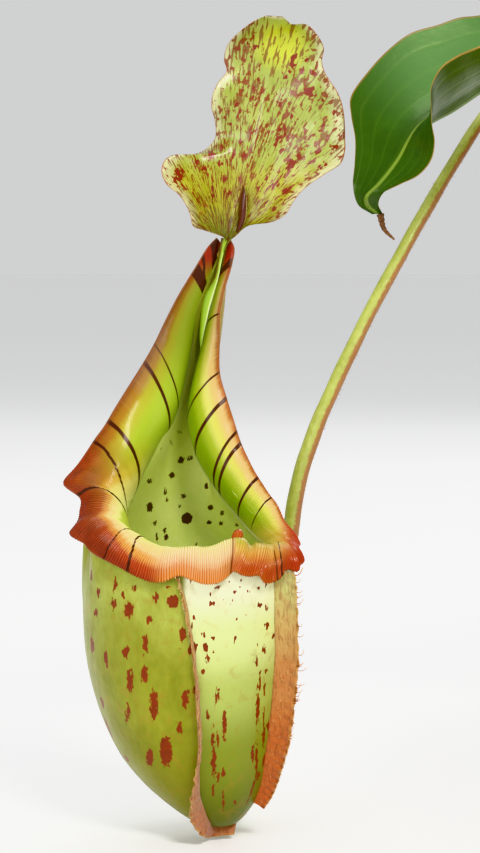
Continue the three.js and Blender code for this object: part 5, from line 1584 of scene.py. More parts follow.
def make_wing(name, hair_length):
    """One wing with its hairs. hair_length is a share of the photograph's."""
    foot, edge, side = wing_lines(name)
    t = np.linspace(0, 1, WING["steps"])
    foot, edge, side = foot.at(t), edge.at(t), unit(side.at(t))
    w = np.array(WING_ACROSS)
    out = unit(edge - foot)
    frill = ripples(t, WING_FRILL)
    middle = mixed(foot[:, None], edge[:, None], w[None, :, None])
    bow = (0.9 * np.sin(w * math.pi)[None] + frill[:, None] * w[None] ** 2)
    middle = middle + side[:, None] * bow[..., None]
    half = WING["thickness"] / 2 * mixed(1.15, 0.4, w ** 1.5)
    raised = 0.16 * waves(middle, SEEDS["wing"], low=0.06, high=0.2)
    near = middle + side[:, None] * (half[None] + raised)[..., None]
    far = middle - side[:, None] * (half[None] + raised)[..., None]
    lip = middle[:, -1:] + out[:, None] * WING["lip"]
    rings = np.concatenate([near, lip, far[:, ::-1]], axis=1)
    across = np.concatenate([w, [1.02], w[::-1]])
    shape = Shape()
    shape.grid(rings + PITCHER_AT, across=across)
    rng = np.random.default_rng(SEEDS[f"wing {name}"])
    lines = edge, out, tangents_along(edge), side
    for start, count, (low, high), (short, long), radius, hook, tip in FRINGES[name]:
        free = slice(int(start * len(t)), None)
        parts = [line[free] for line in lines]
        length = partial_length(low, high, short * hair_length, long * hair_length)
        fringe(shape, *parts, rng, count, length, radius, hook, tip)
    piece = shape.make(f"wing_{name}_fringed", [wing_finish(name), fringe_finish()])
    return settle(piece, "wing_brown", f"wing_{name}")


def wing_finish(name):
    """Thin mottled flange: green at the top of the right wing, orange-brown lower down, tan on the left
    one."""
    def build(g):
        place = g.place()
        height = g.times(g.height(), 5.0)
        if name == "right":
            stops = [(0.06, (198, 94, 30)), (0.26, (198, 108, 46)), (0.46, (204, 144, 82)),
                     (0.56, (206, 172, 104)), (0.68, (206, 206, 130))]
        else:
            stops = [(0.0, (184, 120, 80)), (0.16, (192, 138, 92)), (0.4, (196, 150, 92)),
                     (0.62, (196, 158, 92)), (0.74, (204, 204, 124))]
        ground = g.ramp(height, stops)
        tone = g.group("Mottle", vector=place, scale=0.16, contrast=1.6)
        ground = g.over(ground, (186, 90, 40), tone, 0.35)
        veins = g.step(g.noise(g.place((1000, 1000, 240)), 0.75, 3.0), 0.5, 0.64)
        ground = g.over(ground, (150, 72, 28), veins, 0.45)
        flecks = g.step(g.noise(g.place((1000, 1000, 500)), 1.4, 2.0), 0.6, 0.7)
        ground = g.over(ground, (224, 190, 120), flecks, 0.5)
        edge = g.step(g.value_of("across"), 0.86, 1.0)
        colour = g.over(ground, (206, 160, 84), edge, 0.5)
        relief = g.group("Skin relief", vector=place, scale=0.5, pores=0.4)
        return {"Base Color": colour, "Height": relief}

    return finish_of(
        f"wing {name}", build, main="wing", bump=0.0006, glow=0.3, Roughness=0.5, Sheen_Weight=0.3,
    )


def fringe_finish():
    """Rusty hairs with pale swollen tips, made once for all the pieces that carry hairs."""
    name = "fringe hair"
    if name in bpy.data.materials:
        return bpy.data.materials[name]

    def build(g):
        colour = g.ramp(g.value_of("across"), [
            (0.0, (150, 84, 42)), (0.6, (176, 104, 56)), (0.85, (204, 146, 92)), (1.0, (236, 210, 160)),
        ])
        return {"Base Color": colour}

    return finish_of(name, build, glow=0.3, Roughness=0.6)


# Leaves, tendrils and stem
STEM = {"foot": 105, "top": 300, "foot_radius": 9, "top_radius": 6, "joints": 46, "sides": 36}
NEW_LEAF_GRID = (120, 48)
LEAF = {
    "turn": -137.5, "first_azimuth": 157.5, "thickness": 1.5, "keel": 1.6, "wave": 2.6, "waves": 17,
    "droop": 0.1, "groove": 0.9, "groove_width": 0.035, "ripple": 0.8,
}
# Each leaf's midrib runs in an upright plane through the stem: distance from the stem and height of its four
# control points, half width, the angle by which each half stands up from flat, and its roll.
LEAVES = [
    (((3, 205), (60, 305), (185, 425), (272, 404)), 50, 24, 12),
    (((3, 216), (90, 330), (270, 340), (345, 232)), 54, 21, -8),
    (((3, 228), (85, 352), (260, 372), (338, 262)), 55, 21, 10),
    (((3, 240), (75, 375), (255, 405), (335, 305)), 54, 20, -6),
    (((3, 252), (75, 395), (235, 430), (325, 335)), 52, 22, 8),
    None,
    (((3, 280), (50, 410), (175, 480), (265, 425)), 45, 26, -10),
    (((3, 290), (30, 390), (110, 480), (195, 465)), 37, 30, 6),
]
FRONT_LEAF_INDEX = LEAVES.index(None)
blade_width = profile([
    (0, 0.2), (0.1, 0.19), (0.22, 0.42), (0.36, 0.8), (0.55, 1), (0.74, 0.96), (0.88, 0.7), (0.96, 0.36),
    (1, 0.09),
])
HOOKS = [None, (60, 95, 0.9), (50, 80, 1), (64, 92, 0.8), (48, 70, 1), None, (44, 62, 0.8), (30, 34, 0.7)]
HOOK_ROWS, WITHERED_ROWS, HOOK_SIDES = 110, 30, 14
HOOK_RADIUS = {"root": 1.9, "tip": 1.2, "bud": 3.2, "withered": 0.5}
WITHERED_LINE = [(-331.8, -48.6, 325.6), (-329.8, -49, 318), (-324.5, -49, 312.5)]
LEAF_ROWS, LEAF_ACROSS = 120, 22
STEM_LINE = Spline([(0, 0, STEM["foot"]), (1, -1, 150), (-2, 2, 205), (3, -1, 255), (0, 0, STEM["top"])])
NEW_LEAF_LINE = Spline([(0, 0, STEM["top"] - 1), (2, -1, 335), (-5, 3, 385), (-16, 8, 428)])
new_leaf_radius = profile([(0, 4.6), (0.3, 6.2), (0.65, 4.4), (0.9, 1.6), (1, 0.5)])


def midrib_of(index):
    """The leaf's plane and a function that gives points and directions at even shares of its midrib."""
    azimuth = math.radians(LEAF["first_azimuth"] + LEAF["turn"] * index)
    out = np.array([math.cos(azimuth), math.sin(azimuth), 0])
    side = np.array([-out[1], out[0], 0])
    controls = [out * r + np.array([0, 0, z]) for r, z in LEAVES[index][0]]
    t = np.linspace(0, 1, 801)
    line = bezier(*controls, t)
    run = run_along(line)
    directions = tangents_along(line)

    def at(share):
        place = np.asarray(share, float) * run[-1]
        point = np.stack([np.interp(place, run, line[:, axis]) for axis in range(3)], -1)
        direction = np.stack([np.interp(place, run, directions[:, axis]) for axis in range(3)], -1)
        return point, unit(direction)

    return at, side, run[-1]


def leaf_frame(index, along):
    """Points, directions, sideways and upward vectors along a leaf's midrib."""
    at, side, length = midrib_of(index)
    point, tangent = at(along)
    roll = np.radians(LEAVES[index][3]) * smooth(0.1, 0.6, along)[:, None]
    side = np.broadcast_to(side, point.shape)
    across = side * np.cos(roll) + np.cross(tangent, side) * np.sin(roll)
    return point, tangent, across, np.cross(tangent, across), length


def leaf_sheet(index, along, across):
    """The upper face of a leaf as rows of points, with the upward vector of each row."""
    _, half_width, fold, _ = LEAVES[index]
    point, _, across3, up, length = leaf_frame(index, along)
    width = blade_width(along)[:, None]
    w = across[None]
    reach = np.abs(w) * half_width * width
    angle = math.radians(fold)
    phase = index * 1.9 + np.where(w < 0, 1.3, 0.0)
    wave = LEAF["wave"] * np.sin(along[:, None] * LEAF["waves"] + phase) * w * w * width
    curl = -LEAF["droop"] * reach * np.abs(w)
    lift = reach * math.sin(angle) + curl + wave
    sheet = point[:, None] + across3[:, None] * (np.sign(w) * reach * math.cos(angle))[..., None]
    return sheet + up[:, None] * lift[..., None], up, length, half_width * width


def front_leaf_sheet(along, across):
    """The upper face of leaf 6, from its listed rows."""
    far, middle, near = (Spline([row[k] for row in FRONT_LEAF]).at(along) for k in range(3))
    forward = tangents_along(middle)
    up = unit(np.cross(forward, near - far))
    w = across[None, :, None]
    share = np.abs(w)
    margin = np.where(w < 0, far[:, None], near[:, None])
    reach = lengths_of(margin - middle[:, None])
    sag = 0.12 * reach * share * (1 - share) * 4 * 0.6
    sheet = mixed(middle[:, None], margin, share) - up[:, None] * sag
    return sheet, up, run_along(middle)[-1], reach[..., 0]


def make_leaf(index):
    front = index == FRONT_LEAF_INDEX
    along = np.linspace(0, 1, 2 * LEAF_ROWS if front else LEAF_ROWS)
    even = np.linspace(-1, 1, 2 * LEAF_ACROSS + 1)
    w = mixed(np.sin(even * math.pi / 2), even, 0.6)
    sheet, up, length, reach = front_leaf_sheet(along, w) if front else leaf_sheet(index, along, w)
    share = np.abs(w)
    rise = up[:, None]
    body = smooth(0, 0.05, along)[:, None]
    groove = -LEAF["groove"] * np.exp(-(share / LEAF["groove_width"]) ** 2)[None] * body
    ripple = LEAF["ripple"] * waves(sheet, SEEDS["leaf"] + index, low=0.01, high=0.03)
    ripple = ripple * (share ** 2)[None] * body * (0.5 if front else 1)
    lift = groove + ripple
    taper = np.clip((1 - along) * (len(FRONT_LEAF) - 1) / 3 + 0.5, 0, 1) if front else np.ones(len(along))
    depth = LEAF["thickness"] * (1 + LEAF["keel"] * smooth(0.2, 0, share))
    depth = depth * mixed(1, 0.4, smooth(0.7, 1, share))
    top = sheet + rise * lift[..., None]
    under = sheet + rise * (lift - (depth[None] * taper[:, None]))[..., None]
    rings = np.concatenate([top, under[:, ::-1]], axis=1)
    flow = np.stack(np.broadcast_arrays(w[None] * reach, along[:, None] * length, 0.0), -1)
    flow_under = flow[:, ::-1].copy()
    flow_under[..., 2] = 1.0
    flow, edge = np.concatenate([flow, flow_under], 1), np.concatenate([share, share[::-1]])
    shape = Shape()
    shape.grid(rings, flow=flow, edge=edge)
    piece = shape.make(f"leaf_{index + 1}_blade", [bpy.data.materials["leaf blade"]])
    return settle(piece, "leaf_green", f"leaf_{index + 1}")


# The painted highlight on leaf 6: its middle, in metres.
LEAF_GLINT = (-0.29, -0.04, 0.415)


def leaf_finish():
    """Glossy dark green blade with a pale midrib and faint side veins, yellow-green below, with a thin tan
    edge."""
    def build(g):
        place = g.place()
        across, _, under = g.add("SeparateXYZ", {0: g.flow()}).outputs
        share = g.value_of("edge")
        tone = g.group("Mottle", vector=place, scale=0.03, contrast=1.0)
        upper = g.mix(tone, (24, 54, 4), (42, 78, 10))
        lower = g.mix(tone, (38, 62, 1), (60, 84, 4))
        # Painted highlight: a pale patch on the top of leaf 6.
        glint = g.step(g.distance_to(LEAF_GLINT), 0.07, 0.015, 0.0, 0.7)
        upper = g.mix(glint, upper, (96, 138, 84))
        veins = g.group("Fine lines", across=g.times(share, 40.0), pitch=10.0, sharpness=14.0)
        side = g.mix(under, upper, lower)
        side = g.over(side, (110, 146, 56), veins, 0.07)
        rib = g.step(g.math("ABSOLUTE", across), 1.7, 0.6)
        side = g.over(side, (140, 164, 76), rib, 0.6)
        edge = g.step(share, 0.975, 0.995)
        side = g.over(side, (156, 124, 70), edge, 0.8)
        specks = g.group("Specks", vector=place, scale=0.16, amount=0.1, size=0.14)
        side = g.over(side, (92, 84, 30), specks, 0.25)
        relief = g.plus(g.times(veins, -0.3), g.group("Skin relief", vector=place, scale=0.14, pores=0.08))
        return {"Base Color": side, "Height": relief, "Roughness": g.step(tone, 0.2, 0.8, 0.36, 0.28)}

    return finish_of(
        "leaf blade", build, main="leaf", bump=0.0003, glow=0.1, Coat_Weight=0.2, Coat_Roughness=0.22,
        Coat_Tint=(0.95, 1.0, 0.7, 1.0), Specular_IOR_Level=0.35, Specular_Tint=(0.92, 1.0, 0.5, 1.0),
    )


def tendril_start(index, gap):
    point, tangent, _, up, _ = leaf_frame(index, np.array([1.0]))
    return point[0] - up[0] * LEAF["thickness"] * 1.2 + tangent[0] * gap, tangent[0]


def withered_tendril():
    """The line and the radii of the short withered tendril at the tip of leaf 6."""
    t = np.linspace(0, 1, WITHERED_ROWS)
    shrivel = 0.22 * np.sin(t * 40) * (1 - t)
    return Spline(WITHERED_LINE).even(t), mixed(HOOK_RADIUS["root"], HOOK_RADIUS["withered"], t) + shrivel


def hooked_tendril(index):
    """The line and the radii of a tendril that hangs, turns up and ends in a small pitcher bud."""
    reach, drop, bud = HOOKS[index]
    start, tangent = tendril_start(index, -1.5)
    out = unit(np.array([tangent[0], tangent[1], 0]))

    def place(away, up):
        return start + out * away + np.array([0, 0, up])

    line = Spline([
        start, start + tangent * drop * 0.25, place(reach * 0.6, -drop * 0.75), place(reach * 0.85, -drop),
        place(reach * 1.05, -drop * 0.86), place(reach * 1.12, -drop * 0.6),
    ])
    t = np.linspace(0, 1, HOOK_ROWS)
    swell = HOOK_RADIUS["bud"] * bud * smooth(0.7, 0.88, t) * smooth(1.02, 0.9, t)
    return line.even(t), mixed(HOOK_RADIUS["root"], HOOK_RADIUS["tip"], t) + swell


def make_hook(index):
    withered = index == FRONT_LEAF_INDEX
    line, radii = withered_tendril() if withered else hooked_tendril(index)
    shape = Shape()
    shape.grid(tube_rings(line, radii, HOOK_SIDES), turn=np.cos(angles_round(HOOK_SIDES)))
    material = bpy.data.materials["withered tip" if withered else "tendril skin"]
    piece = shape.make(f"tendril_{index + 1}_hook", [material])
    return settle(piece, "tendril_green", f"tendril_{index + 1}")


MAIN_TENDRIL = [
    (160.2, 118, 377.6), (132.4, 100, 333.8), (114.8, 90, 303.3), (97.4, 81, 272.1), (79, 73, 235.1),
    (67.2, 69, 207.9), (58.7, 66, 182), (53.8, 64, 154), (50, 63, 118), (48, 60, 78), (43, 50, 44),
    (34, 34, 22), (23, 12, 10), (15, -5, 12),
]
main_tendril_radius = profile([
    (0, 2), (0.06, 3.2), (0.4, 3.9), (0.6, 4.4), (0.85, 4.6), (0.96, 5.6), (1, 5.6),
])
# The down on the pitcher's tendril, in millimetres, and the rows of the tendril that it stands on.
DOWN = {"count": 2600, "radius": 0.07, "lengths": (0.5, 1.3), "rows": (4, 400)}
MAIN_TENDRIL_GRID = (420, 24)
RUSTY_SIDE = np.array([0.9, -0.35, -0.2])


def make_main_tendril():
    start, tangent = tendril_start(0, 1)
    points = [start - tangent * 2 - PITCHER_AT] + MAIN_TENDRIL
    rows, sides = MAIN_TENDRIL_GRID
    t = np.linspace(0, 1, rows)
    line = Spline(points).even(t)
    rings = tube_rings(line, main_tendril_radius(t), sides, start=(1, 0, 0))
    around = unit(rings - line[:, None])
    facing = around @ unit(RUSTY_SIDE)
    lumps = 0.12 * waves(rings, SEEDS["tendril"], low=0.03, high=0.12)
    rings = rings + around * lumps[..., None]
    shape = Shape()
    shape.grid(rings + PITCHER_AT, turn=facing)
    rng = np.random.default_rng(SEEDS["down"])
    count = DOWN["count"]
    row = rng.integers(*DOWN["rows"], count)
    column = rng.integers(0, sides, count)
    keep = rng.uniform(0, 1, count) < mixed(0.2, 1, smooth(0.2, 0.9, facing[row, column]))
    row, column = row[keep], column[keep]
    root, out = rings[row, column], around[row, column]
    lean = rng.normal(0, 0.35, (len(row), 3))
    u = np.linspace(0, 1, 4)[None, :, None]
    size = rng.uniform(*DOWN["lengths"], (len(row), 1, 1))
    lines = (root - out * 0.1)[:, None] + size * (out[:, None] * u + lean[:, None] * u ** 2)
    shape.hairs(hair_rings(lines, DOWN["radius"] * (1 - 0.6 * u[..., 0]), 3) + PITCHER_AT, finish=1, across=u)
    piece = shape.make("tendril_1_downy", [bpy.data.materials["tendril skin"], fringe_finish()])
    return settle(piece, "tendril_green", "tendril_1")


def tendril_finish():
    """Green round stalk with a rusty strip along one side and fine lengthwise lines."""
    def build(g):
        place = g.place()
        tone = g.group("Mottle", vector=place, scale=0.06, contrast=1.0)
        ground = g.mix(tone, (138, 146, 52), (178, 186, 92))
        turn = g.value_of("turn")
        shifted = g.plus(turn, g.times(g.minus(g.noise(place, 0.5, 3.0), 0.5), 0.5))
        ground = g.over(ground, (158, 96, 64), g.step(shifted, 0.5, 0.75), 0.85)
        lines = g.step(g.noise(g.stretched(place, (1.0, 1.0, 0.12)), 0.9, 2.0), 0.52, 0.7)
        colour = g.over(ground, (124, 136, 52), lines, 0.2)
        relief = g.group("Skin relief", vector=place, scale=0.45, pores=0.3)
        return {"Base Color": colour, "Height": relief}

    return finish_of(
        "tendril skin", build, main="tendril", bump=0.0003, glow=0.06, Roughness=0.45, Coat_Weight=0.12,
    )


def withered_finish():
    def build(g):
        tone = g.group("Mottle", vector=g.place(), scale=0.5, contrast=1.4)
        return {"Base Color": g.mix(tone, (52, 30, 16), (116, 78, 40))}

    return finish_of("withered tip", build, Roughness=0.8)


def make_stem():
    t = np.linspace(0, 1, 220)
    line = STEM_LINE.even(t)
    joint = t * STEM["joints"]
    ridge = 0.8 * np.maximum(0, np.sin(joint)) * smooth(0.3, 0.4, t)
    ridge = ridge + 0.5 * np.maximum(0, np.sin(joint + 0.8)) ** 6
    radii = mixed(STEM["foot_radius"], STEM["top_radius"], t) + ridge
    rings = tube_rings(line, radii, STEM["sides"])
    around = unit(rings - line[:, None])
    rings = rings + around * (0.25 * waves(rings, SEEDS["stem"], low=0.04, high=0.15))[..., None]
    shape = Shape()
    shape.grid(rings, along=t[:, None])
    settle(shape.make("stem_noded", [stem_finish()]), "stem_green", "stem")


def make_new_leaf():
    """The young leaf at the growing point, rolled round itself."""
    rows, sides = NEW_LEAF_GRID
    t = np.linspace(0, 1, rows)
    line = NEW_LEAF_LINE.even(t)
    angle = angles_round(sides)
    out = tube_rings(line, 1.0, sides) - line[:, None]
    fold = smooth(0.35, 0.0, np.abs(((angle[None] - t[:, None] * 2.2) / (2 * math.pi)) % 1 - 0.5))
    furl = new_leaf_radius(t)[:, None] * (1 - 0.1 * fold + 0.06 * np.cos(angle[None] * 3 + t[:, None] * 5))
    rings = line[:, None] + out * furl[..., None]
    reach = angle / (2 * math.pi)
    flow = np.stack(np.broadcast_arrays((reach * 30)[None], t[:, None] * 130, 0.0), -1)
    shape = Shape()
    shape.grid(rings, flow=flow, edge=0.5)
    piece = shape.make("new_leaf_rolled", [bpy.data.materials["leaf blade"]])
    return settle(piece, "leaf_green", "new_leaf")


def stem_finish():
    """Woody tan at the foot and green above."""
    def build(g):
        place = g.place()
        tone = g.group("Mottle", vector=place, scale=0.12, contrast=1.4)
        along = g.value_of("along")
        green = g.mix(tone, (96, 112, 42), (140, 152, 74))
        wood = g.mix(tone, (86, 62, 38), (140, 112, 76))
        colour = g.mix(g.step(along, 0.3, 0.6), wood, green)
        bark = g.noise(g.stretched(place, (1.0, 1.0, 0.18)), 0.9, 4.0)
        return {"Base Color": colour, "Height": bark}

    return finish_of("stem skin", build, main="stem", bump=0.001, Roughness=0.68)


# Pot and potting mix
POT = {
    "height": 165, "base_radius": 68, "top_radius": 96, "rim_radius": 101, "rim_height": 30, "wall": 7,
    "floor": 9, "rounding": 1.8, "step": 2.2, "sides": 144,
}
DRAIN = {"count": 4, "radius": 6, "circle": 38, "past": 8, "sides": 24}
MIX_TOP, MIX_SIDES, MIX_CLEARANCE = 147, 128, 1.3
STEM_CLEARANCE = 13
PERLITE = {"count": 120, "sizes": (0.9, 2.3), "lift": (1.2, 4.2)}
BARK = {
    "sizes": (3.2, 8.5), "width": (0.4, 0.75), "depth": (0.16, 0.32), "lift": (-1, 2.2), "tilt": 0.32,
    "roundness": 0.55, "bumps": 0.09,
}
MOSS = {"strands": 26, "steps": 9, "lengths": (7, 17), "radius": 0.28, "spread": 2.6}
UNDER_RIM = POT["height"] - POT["rim_height"]


def pot_body(z):
    return POT["base_radius"] + (POT["top_radius"] - POT["base_radius"]) * z / UNDER_RIM


def rounded_outline(points, radius, steps=4):
    """An outline whose corners are rounded by radius."""
    points = np.array(points, float)
    made = [points[0]]
    for before, corner, after in zip(points[:-2], points[1:-1], points[2:]):
        back, on = unit(before - corner), unit(after - corner)
        reach = min(radius, 0.45 * lengths_of(before - corner)[0], 0.45 * lengths_of(after - corner)[0])
        t = np.linspace(0, 1, steps)[:, None]
        start, stop = corner + back * reach, corner + on * reach
        made.extend((1 - t) ** 2 * start + 2 * t * (1 - t) * corner + t ** 2 * stop)
    made.append(points[-1])
    return np.array(made)


def filled_in(outline, longest):
    """An outline with points added wherever two are further apart than longest."""
    made = [outline[0]]
    for a, b in zip(outline[:-1], outline[1:]):
        count = max(1, math.ceil(lengths_of(b - a)[0] / longest))
        made.extend(mixed(a, b, k / count) for k in range(1, count + 1))
    return np.array(made)


def pot_outline():
    """The pot's section as [radius, height] rows: up its outer face, over the rim and down inside."""
    height, rim, wall, floor = POT["height"], POT["rim_radius"], POT["wall"], POT["floor"]
    outline = [
        (0, 0), (POT["base_radius"] - 3, 0), (POT["base_radius"], 3),
        (pot_body(UNDER_RIM) - 1, UNDER_RIM - 1), (rim - 1.5, UNDER_RIM), (rim, UNDER_RIM + 2),
        (rim + 1, height - 3), (rim - 2, height), (rim - wall, height), (rim - wall - 2, height - 3),
        (pot_body(UNDER_RIM) - wall, UNDER_RIM), (pot_body(floor) - wall, floor + 3),
        (pot_body(floor) - wall - 4, floor), (0, floor),
    ]
    outline = filled_in(rounded_outline(outline, POT["rounding"]), POT["step"])
    return outline[(outline[:, 0] > 0.5)]


def drill_drain_holes(pot):
    """Cuts the drain holes through the pot's floor."""
    cutters = []
    for k in range(DRAIN["count"]):
        turn = 2 * math.pi * (k + 0.5) / DRAIN["count"]
        x, y = DRAIN["circle"] * math.cos(turn), DRAIN["circle"] * math.sin(turn)
        line = np.array([(x, y, z) for z in (-DRAIN["past"], POT["floor"] + DRAIN["past"])])
        cutter = Shape()
        cutter.grid(tube_rings(line, DRAIN["radius"], DRAIN["sides"]))
        cutters.append(cutter.make(f"drain_hole_{k}", []))
        cut = pot.modifiers.new("drain", "BOOLEAN")
        cut.object, cut.operation, cut.solver = cutters[-1], "DIFFERENCE", "EXACT"
    graph = bpy.context.evaluated_depsgraph_get()
    mesh = bpy.data.meshes.new_from_object(pot.evaluated_get(graph))
    pot.modifiers.clear()
    pot.data = mesh
    for cutter in cutters:
        bpy.data.objects.remove(cutter)


def make_pot():
    outline = pot_outline()
    angle = angles_round(POT["sides"])
    r, z = outline[:, :1], outline[:, 1:]
    rings = np.stack(np.broadcast_arrays(r * np.cos(angle), r * np.sin(angle), z), -1)
    outward = rings * [1, 1, 0] / np.maximum(r, 1)[..., None]
    turning = 0.16 * np.sin(z * 1.9 + np.sin(angle) * 0.6)
    turning = turning + 0.3 * waves(rings, SEEDS["pot"], low=0.004, high=0.02)
    wobble = turning * smooth(20, 50, r) * smooth(0.5, 4, z)
    shape = Shape()
    shape.grid(rings + outward * wobble[..., None])
    pot = shape.make("pot_thrown", [pot_finish()])
    drill_drain_holes(pot)
    return settle(pot, "clay", "pot")


def pot_finish():
    """Matt terracotta with throwing lines, and a pale lime bloom low down and, fainter, round the rim."""
    def build(g):
        place = g.place()
        tone = g.group("Mottle", vector=place, scale=0.03, contrast=1.2)
        ground = g.mix(tone, (168, 92, 56), (196, 122, 82))
        rings = g.noise(g.stretched(place, (0.06, 0.06, 1.3)), 1.0, 3.0)
        ground = g.over(ground, (140, 72, 42), g.step(rings, 0.45, 0.7), 0.25)
        height = g.height()
        bloom = g.step(g.noise(place, 0.05, 5.0, 0.6), 0.5, 0.72)
        low = g.plus(g.step(height, 0.07, 0.0), g.times(g.step(height, 0.12, 0.16), 0.5))
        ground = g.over(ground, (222, 208, 190), g.times(bloom, low), 0.6)
        specks = g.group("Specks", vector=place, scale=0.5, amount=0.25, size=0.22)
        colour = g.over(ground, (120, 70, 46), specks, 0.35)
        grain = g.noise(place, 1.6, 4.0)
        relief = g.plus(g.times(rings, 0.6), g.times(grain, 0.5))
        return {"Base Color": colour, "Height": relief, "Roughness": g.step(tone, 0, 1, 0.92, 0.78)}

    return finish_of("terracotta", build, main="clay", bump=0.0009)


def inside_pot(z):
    return pot_body(np.minimum(z, UNDER_RIM)) - POT["wall"] - MIX_CLEARANCE


def mix_height(points):
    """The height of the potting mix's lumpy surface."""
    spot = np.concatenate([points, 0 * points[..., :1]], -1)
    radius = np.hypot(points[..., 0], points[..., 1])
    return MIX_TOP - 2.5 - radius * 0.02 + 2.2 * waves(spot, SEEDS["mix"], low=0.012, high=0.045)


def make_mix(chips, tufts):
    angle = angles_round(MIX_SIDES)
    floor_top = POT["floor"] + 0.3
    edge = inside_pot(UNDER_RIM)
    walls = [(inside_pot(floor_top) - 5, floor_top), (inside_pot(floor_top + 4), floor_top + 4)]
    walls += [(inside_pot(z), z) for z in np.linspace(20, UNDER_RIM, 12)]
    lower = [np.stack([r * np.cos(angle), r * np.sin(angle), 0 * angle + z], -1) for r, z in walls]
    upper = []
    for radius in np.linspace(edge, 7, 46):
        ring = np.stack([radius * np.cos(angle), radius * np.sin(angle)], -1)
        upper.append(np.concatenate([ring, mix_height(ring)[:, None]], -1))
    shape = Shape()
    shape.grid(np.array(lower + upper))
    settle(shape.make("potting_mix_bed", [mix_finish()]), "bark_mix", "potting_mix")
    make_bark(edge, chips)
    make_perlite(edge)
    make_moss(edge, tufts)


def lump_template(cuts):
    bm = bmesh.new()
    bmesh.ops.create_icosphere(bm, subdivisions=cuts, radius=1.0)
    points = np.array([v.co for v in bm.verts])
    faces = np.array([[v.index for v in f.verts] for f in bm.faces])
    bm.free()
    return points, faces


def random_turns(rng, count, tilt):
    """Turning matrices: any way round, and tilted by about tilt radians."""
    spin = rng.uniform(0, 2 * math.pi, count)
    lean = rng.normal(0, tilt, count)
    way = rng.uniform(0, 2 * math.pi, count)
    zero, one = np.zeros(count), np.ones(count)

    def upright(angle):
        c, s = np.cos(angle), np.sin(angle)
        return np.stack([c, -s, zero, s, c, zero, zero, zero, one], -1).reshape(-1, 3, 3)

    c, s = np.cos(lean), np.sin(lean)
    tip = np.stack([one, zero, zero, zero, c, -s, zero, s, c], -1).reshape(-1, 3, 3)
    return upright(way) @ tip @ upright(spin)


def strewn(rng, count, edge):
    """Random places on the mix, clear of the stem."""
    radius = np.sqrt(rng.uniform((STEM_CLEARANCE / edge) ** 2, 0.97 ** 2, count)) * edge
    angle = rng.uniform(0, 2 * math.pi, count)
    return np.stack([radius * np.cos(angle), radius * np.sin(angle)], -1)


def make_bark(edge, count):
    """Chips of bark: flat, turned any way on the bed and tilted a little."""
    rng = np.random.default_rng(SEEDS["bark"])
    points, faces = lump_template(2)
    square = np.sign(points) * np.abs(points) ** BARK["roundness"]
    shape = Shape()
    places = strewn(rng, count, edge - 5)
    turns = random_turns(rng, count, BARK["tilt"])
    for k in range(count):
        size = rng.uniform(*BARK["sizes"])
        half = np.array([size, size * rng.uniform(*BARK["width"]), size * rng.uniform(*BARK["depth"])])
        chip = square * half
        bumps = BARK["bumps"] * size * waves(square * 4 + k * 7.3, SEEDS["chip"], low=0.05, high=0.2)
        chip = chip + bumps[:, None] * points
        up = mix_height(places[k][None])[0] + half[2] * 0.5 + rng.uniform(*BARK["lift"])
        middle = np.array([*places[k], up])
        shape.merge(chip @ turns[k].T + middle, faces, tone=rng.uniform(0, 1))
    settle(shape.make("bark_chips", [bark_finish()], soft=False), "bark_mix")


def make_perlite(edge):
    rng = np.random.default_rng(SEEDS["perlite"])
    points, faces = lump_template(1)
    shape = Shape()
    for spot in strewn(rng, PERLITE["count"], edge - 3):
        size = rng.uniform(*PERLITE["sizes"])
        bead = points * size * (1 + 0.22 * rng.uniform(-1, 1, (len(points), 1)))
        middle = np.array([*spot, mix_height(spot[None])[0] + rng.uniform(*PERLITE["lift"])])
        shape.merge(bead + middle, faces, tone=rng.uniform(0, 1))
    settle(shape.make("perlite_grains", [perlite_finish()], soft=False), "bark_mix")


def moss_strand(rng, spot, heading, u, edge):
    """The line of one curved strand: it arches over the mix and stays inside the pot."""
    turn = heading + rng.normal(0, 0.8)
    root = spot + rng.normal(0, MOSS["spread"], 2)
    length = rng.uniform(*MOSS["lengths"])
    way = np.array([math.cos(turn), math.sin(turn)])
    curl = np.array([-way[1], way[0]]) * rng.uniform(-0.5, 0.5)
    flat = root + length * (way * u + curl * u ** 2)
    radius = np.hypot(flat[:, 0], flat[:, 1])[:, None]
    flat = flat * np.minimum(1, (edge - 1.5) / np.maximum(radius, 1))
    hump = rng.uniform(1.5, 4.5) * np.sin(u * math.pi * 0.9) + rng.uniform(0.8, 3.0)
    return np.concatenate([flat, mix_height(flat)[:, None] + hump], -1)


def make_moss(edge, count):
    """Tufts of long-fibred moss: bundles of thin curved strands."""
    rng = np.random.default_rng(SEEDS["moss"])
    tufts = strewn(rng, count, edge - 10)
    lines = []
    u = np.linspace(0, 1, MOSS["steps"])[:, None]
    for spot in tufts:
        heading = rng.uniform(0, 2 * math.pi)
        lines.extend(moss_strand(rng, spot, heading, u, edge) for _ in range(MOSS["strands"]))
    rings = hair_rings(np.array(lines), MOSS["radius"] * (1 - 0.6 * u[None, :, 0]), 4)
    shape = Shape()
    shape.hairs(rings, tone=rng.uniform(0, 1, (len(lines), 1, 1)))
    settle(shape.make("moss_strands", [moss_finish()]), "bark_mix")


def mix_finish():
    def build(g):
        place = g.place()
        tone = g.group("Mottle", vector=place, scale=0.12, contrast=1.6)
        colour = g.mix(tone, (38, 24, 14), (92, 66, 42))
        return {"Base Color": colour, "Height": g.noise(place, 0.6, 5.0)}

    return finish_of("bark bed", build, main="bark", bump=0.002, Roughness=0.92)


